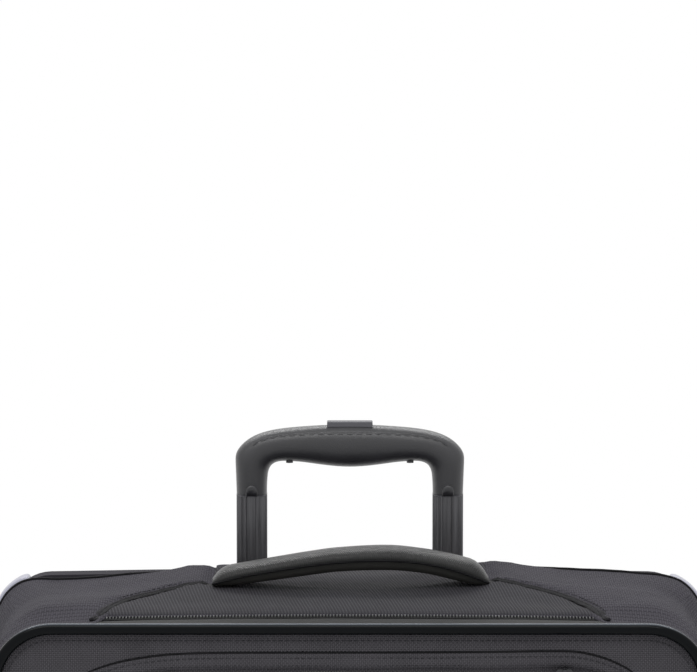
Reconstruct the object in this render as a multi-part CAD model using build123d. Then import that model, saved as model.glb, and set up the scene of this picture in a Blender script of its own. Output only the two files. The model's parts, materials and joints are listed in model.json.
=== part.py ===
from build123d import *
import math
import os

# Softside upright suitcase with a telescopic handle, two rear wheels and a front lid hinged at its foot.
# Millimetres. +X is the owner's right when facing the front, -Y is the front, +Z is up.
# The origin is on the floor, under the middle of the suitcase.
# At rest the telescopic handle stands at its first stop above the stowed position.

# ---- Driving dimensions -------------------------------------------------------------------------

# Case body
CASE_WIDTH = 508.0            # over the side walls
CASE_BOTTOM_Z = 46.0          # underside of the fabric body above the floor
CASE_TOP_Z = 699.0            # top of the walls at the corners
CORNER_RADIUS = 42.0
CROWN_FRONT = 1.5             # how much the top rises in its middle, at the seam
CROWN_MIDDLE = 9.0            # the same at half depth
CROWN_REAR = 3.0              # the same at the rear frame
WALL = 5.0                    # fabric, foam and board together
SEAM_Y = -84.0                # plane where lid and body meet
MIDDLE_Y = -10.0              # where the top reaches its full crown
FRAME_FRONT_Y = 88.0          # gusset ends and rear frame starts
BACK_Y = 106.0                # rear face of the body
REAR_CORNER_RADIUS = 32.0     # the moulded rear frame has tighter corners

# Lid
LID_DEPTH = 42.0
LID_CROWN = 1.5
LID_DROP = 1.5                # the lid's top sits this much lower than the body's
LID_INSET = 3.0               # the lid's sides sit this much further in
PANEL_THICK = 2.5
LID_OPEN_GAP = 0.6            # half the gap between the two zipper halves

# Zipper chain
CHAIN_WIDTH = 3.4             # one half, along Y
CHAIN_PROUD = 0.8
CHAIN_THICK = 2.8
CHAIN_END_Z = 74.0            # the zipper stops here on both sides

# Piping
LID_PIPING_RADIUS = 3.8
ARCH_PIPING_RADIUS = 1.7
HINGE_BEAD_RADIUS = 2.2

# Front pockets
POCKET_SIDE_MARGIN = 51.0     # from the case's side to the pockets
POCKET_CORNER = 44.0
POCKET_FOOT_CORNER = 18.0
POCKET_TOP_MARGIN = 20.0      # from the case's top to the upper pocket
POCKET_FOOT_MARGIN = 38.0     # from the case's underside to the lower pocket
POCKET_SPACING = 20.0         # between the two pockets
UPPER_POCKET_DEPTH = 10.0
LOWER_POCKET_DEPTH = 14.0
POCKET_ZIP_DROP = 14.0        # from the pocket's top edge to the middle of its zipper

# Telescopic handle
POST_SPACING = 146.4          # between the two tube axes
POST_Y = 121.0
INNER_TUBE_WIDTH = 22.8
INNER_TUBE_DEPTH = 13.0
TUBE_WALL = 1.2
TUBE_GAP = 0.8                # between inner and outer tube, each side
TUBE_CORNER = 3.0
TUBE_FOOT_RISE = 50.0         # from the case's underside to the outer tubes' lower ends
TUBE_HEAD_DROP = 7.5          # from the case's top to the outer tubes' upper ends
STOP_PITCH = 50.8
STOPS_BELOW_REST = 1
STOPS_ABOVE_REST = 6
TUBE_OVERLAP = 62.0           # inner tube left in the outer tube at full height

# Bezel round the tubes on the back
BEZEL_LIP = 8.6               # how far it covers the outer tubes' upper ends
BEZEL_MARGIN = 13.4           # from an outer tube's side to the bezel's end
STOW_GAP = 5.1                # between grip and bezel with the handle pushed in

# Grip, its outline seen from the front, as heights over the lower ends of its legs
GRIP_TOP = 52.2
GRIP_SHOULDER = 48.0
GRIP_CORNER = 30.5
GRIP_BELLY = 20.2
GRIP_ARCH = 24.6
GRIP_CHEEK = 12.5             # from a tube's axis to the grip's widest point
GRIP_DEPTH = 26.0
GRIP_EDGE = 8.0
SOCKET_HALF_WIDTH = 11.3      # from the tube axis to either side of a leg
INNER_CORNER = 7.0
SCREW_INSET = 28.2            # from a tube's axis to the screw under the crossbar
TENON_LENGTH = 26.0           # how far each leg's tenon goes down into its tube

# Release button and lock
BUTTON_WIDTH = 34.0
BUTTON_DEPTH = 10.0
BUTTON_PROUD = 2.6
BUTTON_TRAVEL = 4.0
PIN_TRAVEL = 3.0
ROD_RADIUS = 1.6
PIN_RADIUS = 2.6
YOKE_HEIGHT = 7.0
YOKE_DROP = 14.0              # from the grip's top to the top of the yoke
SPRING_RADIUS = 3.2
SPRING_FLOOR = 1.6            # thickness of the grip under the return spring
ROD_FOOT = 7.0                # from a lock pin's axis up to where its round push rod starts

# Wheels
WHEEL_RADIUS = 36.0
WHEEL_WIDTH = 22.0
WHEEL_INSET = 42.0            # from the case's side to the middle of a wheel
WHEEL_OVERHANG = 2.0          # from the case's rear face to the axle
TYRE_THICK = 9.0
AXLE_RADIUS = 4.0
AXLE_HEAD = 3.0               # length of an axle's head
AXLE_HEAD_RADIUS = 7.0
BEARING_RADIUS = 11.0
BEARING_WIDTH = 7.0
WHEEL_GAP = 3.0               # round the tyre inside its housing
HOUSING_WALL = 4.0

# Top and side carry handles
HANDLE_SPAN = 99.0            # half the distance between the sewn ends
HANDLE_WIDTH = 30.0
HANDLE_RISE = 36.5            # from the case's top to the top of the carry handle
HANDLE_APEX_X = 20.0
HANDLE_Y = 2.0
HANDLE_THICK = 17.5
SIDE_HANDLE_SHARE = 0.542     # height of the side handle's middle as a share of the case's height
SIDE_HANDLE_SPAN = 80.0
SIDE_HANDLE_RISE = 17.5
SIDE_HANDLE_THICK = 11.0

# Feet and guards
FOOT_INSET = 69.0             # from the case's side to the middle of a foot
FOOT_FRONT_Y = -60.0
FOOT_LENGTH = 40.0
FOOT_WIDTH = 44.0
STUD_HEIGHT = 10.0
STUD_RADIUS = 11.0
TRAY_THICK = 3.5
TRAY_LIP = 26.0
LINING_INSET = 12.4
LINING = 1.2                  # thickness of the lining
LINING_GAP = 1.0              # between lining and wheel housings

# Clearances
FIT = 0.3                     # between pieces that move past each other
SEAT = 0.05                   # between pieces that are fixed together
BEARING_FIT = 0.05

FAR = 2000.0                  # past the end of every piece, for cuts that go right through

HALF_WIDTH = CASE_WIDTH / 2
LID_FRONT_Y = SEAM_Y - LID_DEPTH
CHAIN_GAP_REAR = SEAM_Y + LID_OPEN_GAP
CHAIN_GAP_FRONT = SEAM_Y - LID_OPEN_GAP
OUTER_TUBE_WIDTH = INNER_TUBE_WIDTH + 2 * (TUBE_GAP + TUBE_WALL)
OUTER_TUBE_DEPTH = INNER_TUBE_DEPTH + 2 * (TUBE_GAP + TUBE_WALL)
PLUG_WIDTH = INNER_TUBE_WIDTH - 2 * TUBE_WALL - 2 * SEAT
PLUG_DEPTH = INNER_TUBE_DEPTH - 2 * TUBE_WALL - 2 * SEAT
OUTER_TUBE_BOTTOM = CASE_BOTTOM_Z + TUBE_FOOT_RISE
OUTER_TUBE_TOP = CASE_TOP_Z - TUBE_HEAD_DROP
TRAVEL_DOWN = STOPS_BELOW_REST * STOP_PITCH
TRAVEL_UP = STOPS_ABOVE_REST * STOP_PITCH
BEZEL_TOP = OUTER_TUBE_TOP + BEZEL_LIP
BEZEL_HALF_WIDTH = POST_SPACING / 2 + OUTER_TUBE_WIDTH / 2 + BEZEL_MARGIN
INNER_TUBE_BOTTOM = OUTER_TUBE_TOP - TUBE_OVERLAP - TRAVEL_UP
HINGE_Z = CASE_BOTTOM_Z

GRIP_SOCKET_Z = BEZEL_TOP + STOW_GAP + TRAVEL_DOWN
GRIP_TOP_Z = GRIP_SOCKET_Z + GRIP_TOP
GRIP_SHOULDER_Z = GRIP_SOCKET_Z + GRIP_SHOULDER
GRIP_CORNER_Z = GRIP_SOCKET_Z + GRIP_CORNER
GRIP_BELLY_Z = GRIP_SOCKET_Z + GRIP_BELLY
GRIP_ARCH_Z = GRIP_SOCKET_Z + GRIP_ARCH
GRIP_HALF_WIDTH = POST_SPACING / 2 + GRIP_CHEEK
SCREW_X = POST_SPACING / 2 - SCREW_INSET

CASE_HEIGHT = CASE_TOP_Z - CASE_BOTTOM_Z
POCKET_HALF_WIDTH = HALF_WIDTH - POCKET_SIDE_MARGIN
UPPER_POCKET_TOP = CASE_TOP_Z - POCKET_TOP_MARGIN
LOWER_POCKET_BOTTOM = CASE_BOTTOM_Z + POCKET_FOOT_MARGIN
LOWER_POCKET_TOP = CASE_BOTTOM_Z + CASE_HEIGHT / 2 - 0.5
UPPER_POCKET_BOTTOM = LOWER_POCKET_TOP + POCKET_SPACING

WHEEL_X = HALF_WIDTH - WHEEL_INSET
WHEEL_Y = BACK_Y + WHEEL_OVERHANG
WELL_HALF_WIDTH = WHEEL_WIDTH / 2 + WHEEL_GAP + HOUSING_WALL
WELL_REACH = WHEEL_RADIUS + WHEEL_GAP + HOUSING_WALL
FOOT_X = HALF_WIDTH - FOOT_INSET
RAIL_X = (BEZEL_HALF_WIDTH + WHEEL_X - WELL_HALF_WIDTH) / 2
HANDLE_APEX_Z = CASE_TOP_Z + HANDLE_RISE
SIDE_HANDLE_Z = CASE_BOTTOM_Z + SIDE_HANDLE_SHARE * CASE_HEIGHT

parts = {}


# ---- Helpers ------------------------------------------------------------------------------------

def box(x0, x1, y0, y1, z0, z1):
    """A block between two corners."""
    size = (x1 - x0, y1 - y0, z1 - z0)
    centre = ((x0 + x1) / 2, (y0 + y1) / 2, (z0 + z1) / 2)
    return Pos(*centre) * Box(*size)


def rod_x(radius, x0, x1, y, z):
    """A cylinder along X."""
    return Pos((x0 + x1) / 2, y, z) * Rot(0, 90, 0) * Cylinder(radius, x1 - x0)


def rod_y(radius, y0, y1, x, z):
    """A cylinder along Y."""
    return Pos(x, (y0 + y1) / 2, z) * Rot(90, 0, 0) * Cylinder(radius, y1 - y0)


def rod_z(radius, z0, z1, x, y):
    """A cylinder along Z."""
    return Pos(x, y, (z0 + z1) / 2) * Cylinder(radius, z1 - z0)


def case_outline(inset, crown, radius=CORNER_RADIUS, side=HALF_WIDTH, top=CASE_TOP_Z, at_y=0.0):
    """The case's outline in the XZ plane: a rounded rectangle whose top edge is crowned."""
    half = side - inset
    low = CASE_BOTTOM_Z + inset
    high = top - inset
    with BuildSketch(Plane.XZ.offset(-at_y)) as sketch:
        with BuildLine():
            Line((-half, low), (half, low))
            Line((half, low), (half, high))
            ThreePointArc((half, high), (0, high + crown), (-half, high))
            Line((-half, high), (-half, low))
        make_face()
        fillet(sketch.vertices(), radius - inset)
    return sketch.sketch


def case_block(inset, y0, y1):
    """The solid inside the body's outline, lofted through the crown's three sections."""
    stations = [SEAM_Y, MIDDLE_Y, FRAME_FRONT_Y, BACK_Y]
    crowns = [CROWN_FRONT, CROWN_MIDDLE, CROWN_REAR, CROWN_REAR]
    sections = [case_outline(inset, c, at_y=y) for y, c in zip(stations, crowns)]
    front = case_outline(inset, CROWN_FRONT, at_y=SEAM_Y - 1)
    whole = loft([front, *sections], ruled=True)
    return whole & box(-FAR, FAR, y0, y1, -FAR, FAR)


def lid_block(inset, y0, y1, radius=CORNER_RADIUS):
    """The solid inside the lid's outline between two planes."""
    outline = case_outline(inset, LID_CROWN, radius, HALF_WIDTH - LID_INSET, CASE_TOP_Z - LID_DROP, y1)
    return extrude(outline, y1 - y0)


def top_surface_z(x, y):
    """Height of the body's crowned top at a point inside its corners."""
    if y < MIDDLE_Y:
        share = (y - SEAM_Y) / (MIDDLE_Y - SEAM_Y)
        crown = CROWN_FRONT + share * (CROWN_MIDDLE - CROWN_FRONT)
    else:
        share = (y - MIDDLE_Y) / (FRAME_FRONT_Y - MIDDLE_Y)
        crown = CROWN_MIDDLE + share * (CROWN_REAR - CROWN_MIDDLE)
    arc_radius = (HALF_WIDTH ** 2 + crown ** 2) / (2 * crown)
    return CASE_TOP_Z + crown - arc_radius + math.sqrt(arc_radius ** 2 - x ** 2)


def rounded_bar(width, depth, z0, z1, x, corner):
    """An upright bar with a rounded rectangular section, standing on the tube axis at x."""
    with BuildSketch(Plane.XY.offset(z0)) as sketch:
        with Locations((x, POST_Y)):
            RectangleRounded(width, depth, corner)
    return extrude(sketch.sketch, z1 - z0)


def tube_through(points, radius):
    """A round cord along straight runs joined by large tangent arcs."""
    corners = [Vector(*p) for p in points]
    radii = []
    for before, here, after in zip(corners, corners[1:], corners[2:]):
        turn = math.radians((here - before).get_angle(after - here))
        run = min((here - before).length, (after - here).length)
        radii.append(0.45 * run / math.tan(turn / 2))
    path = FilletPolyline(*corners, radius=radii)
    start = Plane(origin=path @ 0, z_dir=path % 0)
    return sweep(start * Circle(radius), path)


def add(name, shape):
    """Keeps a finished piece under its node name."""
    parts[name] = shape


# ---- Wheels -------------------------------------------------------------------------------------

def wheel_well(side, grow=0.0):
    """The outside of a wheel housing, so that the case can be cut to fit round it."""
    half = WELL_HALF_WIDTH + grow
    reach = WELL_REACH + grow
    x0 = side * WHEEL_X - half
    x1 = side * WHEEL_X + half
    drum = rod_x(reach, x0, x1, WHEEL_Y, WHEEL_RADIUS)
    shoulder = box(x0, x1, WHEEL_Y - reach, BACK_Y + 4, WHEEL_RADIUS, WHEEL_RADIUS + reach)
    limits = box(x0, x1, 0, WHEEL_Y + 0.75 * WHEEL_RADIUS + grow, 0.45 * WHEEL_RADIUS - grow, FAR)
    return (drum + shoulder) & limits


def make_wheels():
    axles = []
    for side, label in ((-1, "left"), (1, "right")):
        x = side * WHEEL_X
        half = WHEEL_WIDTH / 2
        rim = WHEEL_RADIUS - TYRE_THICK
        tyre = rod_x(WHEEL_RADIUS, x - half, x + half, WHEEL_Y, WHEEL_RADIUS)
        tyre -= rod_x(rim, x - half, x + half, WHEEL_Y, WHEEL_RADIUS)
        tread = tyre.edges().filter_by(GeomType.CIRCLE).sort_by(lambda e: e.radius)[-2:]
        add(f"tyre_{label}", fillet(tread, 5))

        hub = rod_x(rim, x - half, x + half, WHEEL_Y, WHEEL_RADIUS)
        web = HOUSING_WALL / 2
        for face in (-1, 1):
            inner = x + face * web
            outer = x + face * half
            ring = rod_x(rim - 4, min(inner, outer), max(inner, outer), WHEEL_Y, WHEEL_RADIUS)
            boss = rod_x(BEARING_RADIUS + 3, min(inner, outer), max(inner, outer), WHEEL_Y, WHEEL_RADIUS)
            hub -= ring - boss
            seat_start = outer - face * BEARING_WIDTH
            seat = sorted((seat_start, outer))
            hub -= rod_x(BEARING_RADIUS, *seat, WHEEL_Y, WHEEL_RADIUS)
        hub -= rod_x(AXLE_RADIUS + 1.5, x - half, x + half, WHEEL_Y, WHEEL_RADIUS)
        for spoke in range(6):
            angle = math.radians(60 * spoke + 30)
            middle = (BEARING_RADIUS + 3 + rim - 4) / 2
            hole_y = WHEEL_Y + middle * math.cos(angle)
            hole_z = WHEEL_RADIUS + middle * math.sin(angle)
            hub -= rod_x(3.6, x - half, x + half, hole_y, hole_z)
        add(f"wheel_hub_{label}", hub)

        bearings = []
        for face in (-1, 1):
            outer = x + face * half
            inner = outer - face * BEARING_WIDTH
            ends = sorted((inner, outer))
            ring = rod_x(BEARING_RADIUS - SEAT, *ends, WHEEL_Y, WHEEL_RADIUS)
            ring -= rod_x(AXLE_RADIUS + BEARING_FIT, *ends, WHEEL_Y, WHEEL_RADIUS)
            bearings.append(ring)
        add(f"wheel_bearings_{label}", Compound(children=bearings))

        reach = WELL_HALF_WIDTH
        axle = rod_x(AXLE_RADIUS, x - reach, x + reach, WHEEL_Y, WHEEL_RADIUS)
        head_ends = sorted((x + side * reach, x + side * (reach + AXLE_HEAD)))
        head = rod_x(AXLE_HEAD_RADIUS, *head_ends, WHEEL_Y, WHEEL_RADIUS)
        axles.append(axle + head)

        housing = wheel_well(side)
        housing -= rod_x(WHEEL_RADIUS + WHEEL_GAP, x - half - WHEEL_GAP, x + half + WHEEL_GAP,
                         WHEEL_Y, WHEEL_RADIUS)
        housing -= rod_x(AXLE_RADIUS + SEAT, x - reach - 1, x + reach + 1, WHEEL_Y, WHEEL_RADIUS)
        add(f"wheel_housing_{label}", housing)
    add("axles", Compound(children=axles))


# ---- Case body ----------------------------------------------------------------------------------

def wells(grow):
    """Both wheel wells and the heads of the axles, grown by a clearance, as one cutter."""
    cutter = wheel_well(-1, grow) + wheel_well(1, grow)
    for side in (-1, 1):
        start = side * (WHEEL_X + WELL_HALF_WIDTH)
        ends = sorted((start, start + side * (AXLE_HEAD + grow)))
        cutter += rod_x(AXLE_HEAD_RADIUS + grow, *ends, WHEEL_Y, WHEEL_RADIUS)
    return cutter


def make_case():
    chain_back = CHAIN_GAP_REAR + CHAIN_WIDTH
    gusset = case_block(0, chain_back, FRAME_FRONT_Y - SEAT) - case_block(WALL, SEAM_Y - 1, BACK_Y)
    add("gusset", gusset - wells(SEAT))

    depth = BACK_Y - FRAME_FRONT_Y
    frame_outer = extrude(case_outline(0, CROWN_REAR, REAR_CORNER_RADIUS, at_y=BACK_Y), depth)
    frame_inner = extrude(case_outline(12, CROWN_REAR, CORNER_RADIUS, at_y=BACK_Y + 1), depth + 2)
    seat = extrude(case_outline(7, CROWN_REAR, CORNER_RADIUS, at_y=BACK_Y + 1), 4.5)
    frame = frame_outer - frame_inner - seat
    add("rear_frame", frame - wells(SEAT))

    panel = extrude(case_outline(7 + SEAT, CROWN_REAR, CORNER_RADIUS, at_y=BACK_Y), 3.4)
    add("back_panel", panel - wells(SEAT))

    liner_outer = case_block(LINING_INSET, chain_back, BACK_Y - 5)
    liner_inner = case_block(LINING_INSET + LINING, SEAM_Y - 1, BACK_Y - 5 - LINING)
    liner = liner_outer - liner_inner
    well_top = WHEEL_RADIUS + WELL_REACH
    for side in (-1, 1):
        x = side * WHEEL_X
        half = WELL_HALF_WIDTH + LINING_GAP
        front = WHEEL_Y - WELL_REACH - 3
        bump = box(x - half - LINING, x + half + LINING, front - LINING, BACK_Y - 5, 0, well_top + 3 + LINING)
        liner += bump & liner_outer
        liner -= box(x - half, x + half, front, BACK_Y + 10, 0, well_top + 3)
    add("lining", liner)

    hoop_inset = WALL + 2.5
    hoop = case_block(hoop_inset - 2.2, -78, -73.6) - case_block(hoop_inset + 2.2, -90, 0)
    add("front_hoop", hoop)

    ring = case_block(-CHAIN_PROUD, CHAIN_GAP_REAR, chain_back - SEAT)
    ring -= case_block(CHAIN_THICK - CHAIN_PROUD, SEAM_Y - 1, BACK_Y)
    add("zip_chain_body", ring & box(-FAR, FAR, -FAR, FAR, CHAIN_END_Z, FAR))

    piping = case_block(-1.2, FRAME_FRONT_Y - 5, FRAME_FRONT_Y - 2) - case_block(-SEAT, -90, BACK_Y)
    piping &= box(-FAR, FAR, -FAR, FAR, CASE_BOTTOM_Z + TRAY_LIP + 4, FAR)
    bead = rod_x(HINGE_BEAD_RADIUS, -HALF_WIDTH + CORNER_RADIUS, HALF_WIDTH - CORNER_RADIUS, SEAM_Y, HINGE_Z)
    add("case_piping", Compound(children=[piping, bead]))


def make_arch_piping():
    """The piped seam on the top that sweeps from each handle end forwards and outwards to the zipper."""
    cords = []
    for side in (-1, 1):
        points = []
        for share in (0.0, 0.25, 0.5, 0.75, 1.0):
            x = side * (HANDLE_SPAN + 6 + 74 * share)
            y = HANDLE_Y - 16 - 60 * share ** 2.2
            points.append((x, y, top_surface_z(x, y) + 1.9))
        cords.append(tube_through(points, ARCH_PIPING_RADIUS))
    add("arch_piping", Compound(children=cords))


# ---- Base, feet and guards ----------------------------------------------------------------------

def make_base():
    tray = case_block(-TRAY_THICK, FOOT_FRONT_Y + 2, FRAME_FRONT_Y - 6)
    tray -= case_block(-SEAT, SEAM_Y - 1, BACK_Y)
    tray &= box(-FAR, FAR, -FAR, FAR, 0, CASE_BOTTOM_Z + TRAY_LIP)
    add("bottom_tray", tray - wells(SEAT))

    feet = []
    for side in (-1, 1):
        x = side * FOOT_X
        top = CASE_BOTTOM_Z - TRAY_THICK - SEAT
        foot = box(x - FOOT_WIDTH / 2, x + FOOT_WIDTH / 2, FOOT_FRONT_Y, FOOT_FRONT_Y + FOOT_LENGTH, 0, top)
        foot = fillet(foot.edges().filter_by(Axis.Z), 10)
        foot = fillet(foot.faces().sort_by(Axis.Z)[0].edges(), 4)
        hollow = box(x - FOOT_WIDTH / 2 + 6, x + FOOT_WIDTH / 2 - 6, FOOT_FRONT_Y + 6,
                     FOOT_FRONT_Y + FOOT_LENGTH - 6, 8, top)
        feet.append(foot - hollow)
    add("front_feet", Compound(children=feet))

    bar_top = CASE_BOTTOM_Z - TRAY_THICK - SEAT
    bar = box(-70, 70, 10, 34, 18, bar_top)
    bar = fillet(bar.edges().filter_by(Axis.Y), 8)
    bar -= box(-56, 56, 0, 40, 26, bar_top + 1)
    for side in (-1, 1):
        bar += box(side * 78 - 12, side * 78 + 12, 6, 38, bar_top - 5, bar_top)
    add("bottom_grab_bar", bar)

    rails = []
    for side in (-1, 1):
        x = side * RAIL_X
        rail_top = CASE_BOTTOM_Z + 0.435 * CASE_HEIGHT
        rail = box(x - 8, x + 8, BACK_Y + SEAT, BACK_Y + 7, OUTER_TUBE_BOTTOM, rail_top)
        rails.append(chamfer(rail.faces().sort_by(Axis.Y)[-1].edges(), 3))
    add("skid_rails", Compound(children=rails))

    guards = []
    for side in (-1, 1):
        shell = extrude(case_outline(-4.5, CROWN_REAR, 30, at_y=BACK_Y + 4), 34)
        shell -= extrude(case_outline(-0.6, CROWN_REAR, REAR_CORNER_RADIUS, at_y=BACK_Y + SEAT), 40)
        inner_edge = HALF_WIDTH - 44
        window = box(inner_edge, FAR, FRAME_FRONT_Y + 0.5, BACK_Y + 4, CASE_TOP_Z - 44, FAR)
        if side < 0:
            window = mirror(window, Plane.YZ)
        back_skin = extrude(case_outline(14, CROWN_REAR, 30, at_y=BACK_Y + 5), 6)
        guards.append((shell & window) - back_skin)
    add("corner_guards", Compound(children=guards))

    studs = []
    for y in (-40, 55):
        for z in (CASE_BOTTOM_Z + 0.22 * CASE_HEIGHT, CASE_BOTTOM_Z + 0.787 * CASE_HEIGHT):
            x0 = -HALF_WIDTH - STUD_HEIGHT
            stud = rod_x(STUD_RADIUS, x0, -HALF_WIDTH - SEAT, y, z)
            rim = stud.faces().sort_by(Axis.X)[0].edges()
            studs.append(fillet(rim, 3))
    add("side_studs", Compound(children=studs))


# ---- Lid ----------------------------------------------------------------------------------------

def pocket_outline(top, bottom, inset=0.0, at_y=0.0):
    """A pocket's outline on the lid: wide round corners at the top, small ones at the foot."""
    half = POCKET_HALF_WIDTH - inset
    with BuildSketch(Plane.XZ.offset(-at_y)) as sketch:
        with Locations((0, (top + bottom) / 2)):
            Rectangle(2 * half, top - bottom - 2 * inset)
        fillet(sketch.vertices().group_by(Axis.Y)[-1], POCKET_CORNER - inset)
        fillet(sketch.vertices().group_by(Axis.Y)[0], POCKET_FOOT_CORNER - inset)
    return sketch.sketch


def make_lid():
    chain_front = CHAIN_GAP_FRONT - CHAIN_WIDTH
    ring = lid_block(0, LID_FRONT_Y, chain_front) - lid_block(WALL, LID_FRONT_Y - 1, SEAM_Y)
    add("lid_gusset", ring)
    panel = lid_block(WALL + SEAT, LID_FRONT_Y, LID_FRONT_Y + PANEL_THICK)
    add("lid_panel", panel)
    lining = lid_block(WALL + 1.5, LID_FRONT_Y + 6, LID_FRONT_Y + 7.2)
    mesh = extrude(pocket_outline(CASE_TOP_Z - 59, CASE_BOTTOM_Z + 104, 12, LID_FRONT_Y + 9.4), 1.2)
    add("lid_lining", Compound(children=[lining, mesh]))

    chain = lid_block(-CHAIN_PROUD, chain_front + SEAT, CHAIN_GAP_FRONT)
    chain -= lid_block(CHAIN_THICK - CHAIN_PROUD, SEAM_Y - 30, SEAM_Y + 1)
    add("zip_chain_lid", chain & box(-FAR, FAR, -FAR, FAR, CHAIN_END_Z, FAR))

    # The thick piping runs round the whole front edge.
    inset = LID_PIPING_RADIUS - 2.0
    outline = case_outline(inset, LID_CROWN, CORNER_RADIUS, HALF_WIDTH - LID_INSET,
                           CASE_TOP_Z - LID_DROP, LID_FRONT_Y - LID_PIPING_RADIUS + 0.2)
    wire = outline.faces()[0].outer_wire()
    start = Plane(origin=wire @ 0, z_dir=wire % 0)
    piping = sweep(start * Circle(LID_PIPING_RADIUS), wire)
    seat = lid_block(-1, LID_FRONT_Y - SEAT, LID_FRONT_Y + 20)
    add("lid_piping", piping - seat)


def make_pockets():
    front = LID_FRONT_Y - SEAT
    rows = (
        ("upper", UPPER_POCKET_TOP, UPPER_POCKET_BOTTOM, UPPER_POCKET_DEPTH),
        ("lower", LOWER_POCKET_TOP, LOWER_POCKET_BOTTOM, LOWER_POCKET_DEPTH),
    )
    flaps = []
    chains = []
    for label, top, bottom, depth in rows:
        body_top = top - POCKET_ZIP_DROP - CHAIN_WIDTH / 2 - SEAT
        body = extrude(pocket_outline(top, bottom, 0, front), depth)
        body &= box(-FAR, FAR, front - depth - 1, front + 1, bottom - 1, body_top)
        rim = body.faces().sort_by(Axis.Y)[0].edges()
        add(f"{label}_pocket", chamfer(rim, 4.5))
        flap = extrude(pocket_outline(top, bottom, 0, front), 5.0)
        flap_bottom = top - POCKET_ZIP_DROP + CHAIN_WIDTH / 2 + SEAT
        flap &= box(-FAR, FAR, front - 9, front + 1, flap_bottom, top + 1)
        flaps.append(chamfer(flap.faces().sort_by(Axis.Y)[0].edges(), 1.6))
        z = top - POCKET_ZIP_DROP
        reach = POCKET_HALF_WIDTH - 24
        chains.append(box(-reach, reach, front - 3.4, front, z - CHAIN_WIDTH / 2, z + CHAIN_WIDTH / 2))
    add("pocket_flaps", Compound(children=flaps))
    add("pocket_chains", Compound(children=chains))
    patch_y = front - UPPER_POCKET_DEPTH
    patch = box(-34, 34, patch_y - 2.0, patch_y - SEAT, UPPER_POCKET_TOP - 83, UPPER_POCKET_TOP - 55)
    add("front_patch", fillet(patch.edges().filter_by(Axis.Y), 5))


# ---- Telescopic handle --------------------------------------------------------------------------

def grip_outline():
    """The grip seen from the front, drawn as one closed outline."""
    leg_outer = POST_SPACING / 2 + SOCKET_HALF_WIDTH
    leg_inner = POST_SPACING / 2 - SOCKET_HALF_WIDTH
    elbow_x = leg_inner - INNER_CORNER
    elbow_z = GRIP_ARCH_Z - INNER_CORNER
    knee_x = leg_inner - INNER_CORNER * (1 - math.sqrt(0.5))
    knee_z = GRIP_ARCH_Z - INNER_CORNER * (1 - math.sqrt(0.5))
    bend_x = (GRIP_HALF_WIDTH + leg_inner) / 2 + 3.5
    bend_z = (GRIP_SHOULDER_Z + GRIP_CORNER_Z) / 2 + 1.6
    with BuildSketch(Plane.XZ.offset(-(POST_Y + GRIP_DEPTH / 2))) as sketch:
        with BuildLine():
            ThreePointArc((-leg_inner, GRIP_SHOULDER_Z), (0, GRIP_TOP_Z), (leg_inner, GRIP_SHOULDER_Z))
            ThreePointArc((leg_inner, GRIP_SHOULDER_Z), (bend_x, bend_z), (GRIP_HALF_WIDTH, GRIP_CORNER_Z))
            Line((GRIP_HALF_WIDTH, GRIP_CORNER_Z), (leg_outer, GRIP_SOCKET_Z))
            Line((leg_outer, GRIP_SOCKET_Z), (leg_inner, GRIP_SOCKET_Z))
            Line((leg_inner, GRIP_SOCKET_Z), (leg_inner, elbow_z))
            ThreePointArc((leg_inner, elbow_z), (knee_x, knee_z), (elbow_x, GRIP_ARCH_Z))
            ThreePointArc((elbow_x, GRIP_ARCH_Z), (0, GRIP_BELLY_Z), (-elbow_x, GRIP_ARCH_Z))
            ThreePointArc((-elbow_x, GRIP_ARCH_Z), (-knee_x, knee_z), (-leg_inner, elbow_z))
            Line((-leg_inner, elbow_z), (-leg_inner, GRIP_SOCKET_Z))
            Line((-leg_inner, GRIP_SOCKET_Z), (-leg_outer, GRIP_SOCKET_Z))
            Line((-leg_outer, GRIP_SOCKET_Z), (-GRIP_HALF_WIDTH, GRIP_CORNER_Z))
            ThreePointArc((-GRIP_HALF_WIDTH, GRIP_CORNER_Z), (-bend_x, bend_z), (-leg_inner, GRIP_SHOULDER_Z))
        make_face()
    return sketch.sketch


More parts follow.
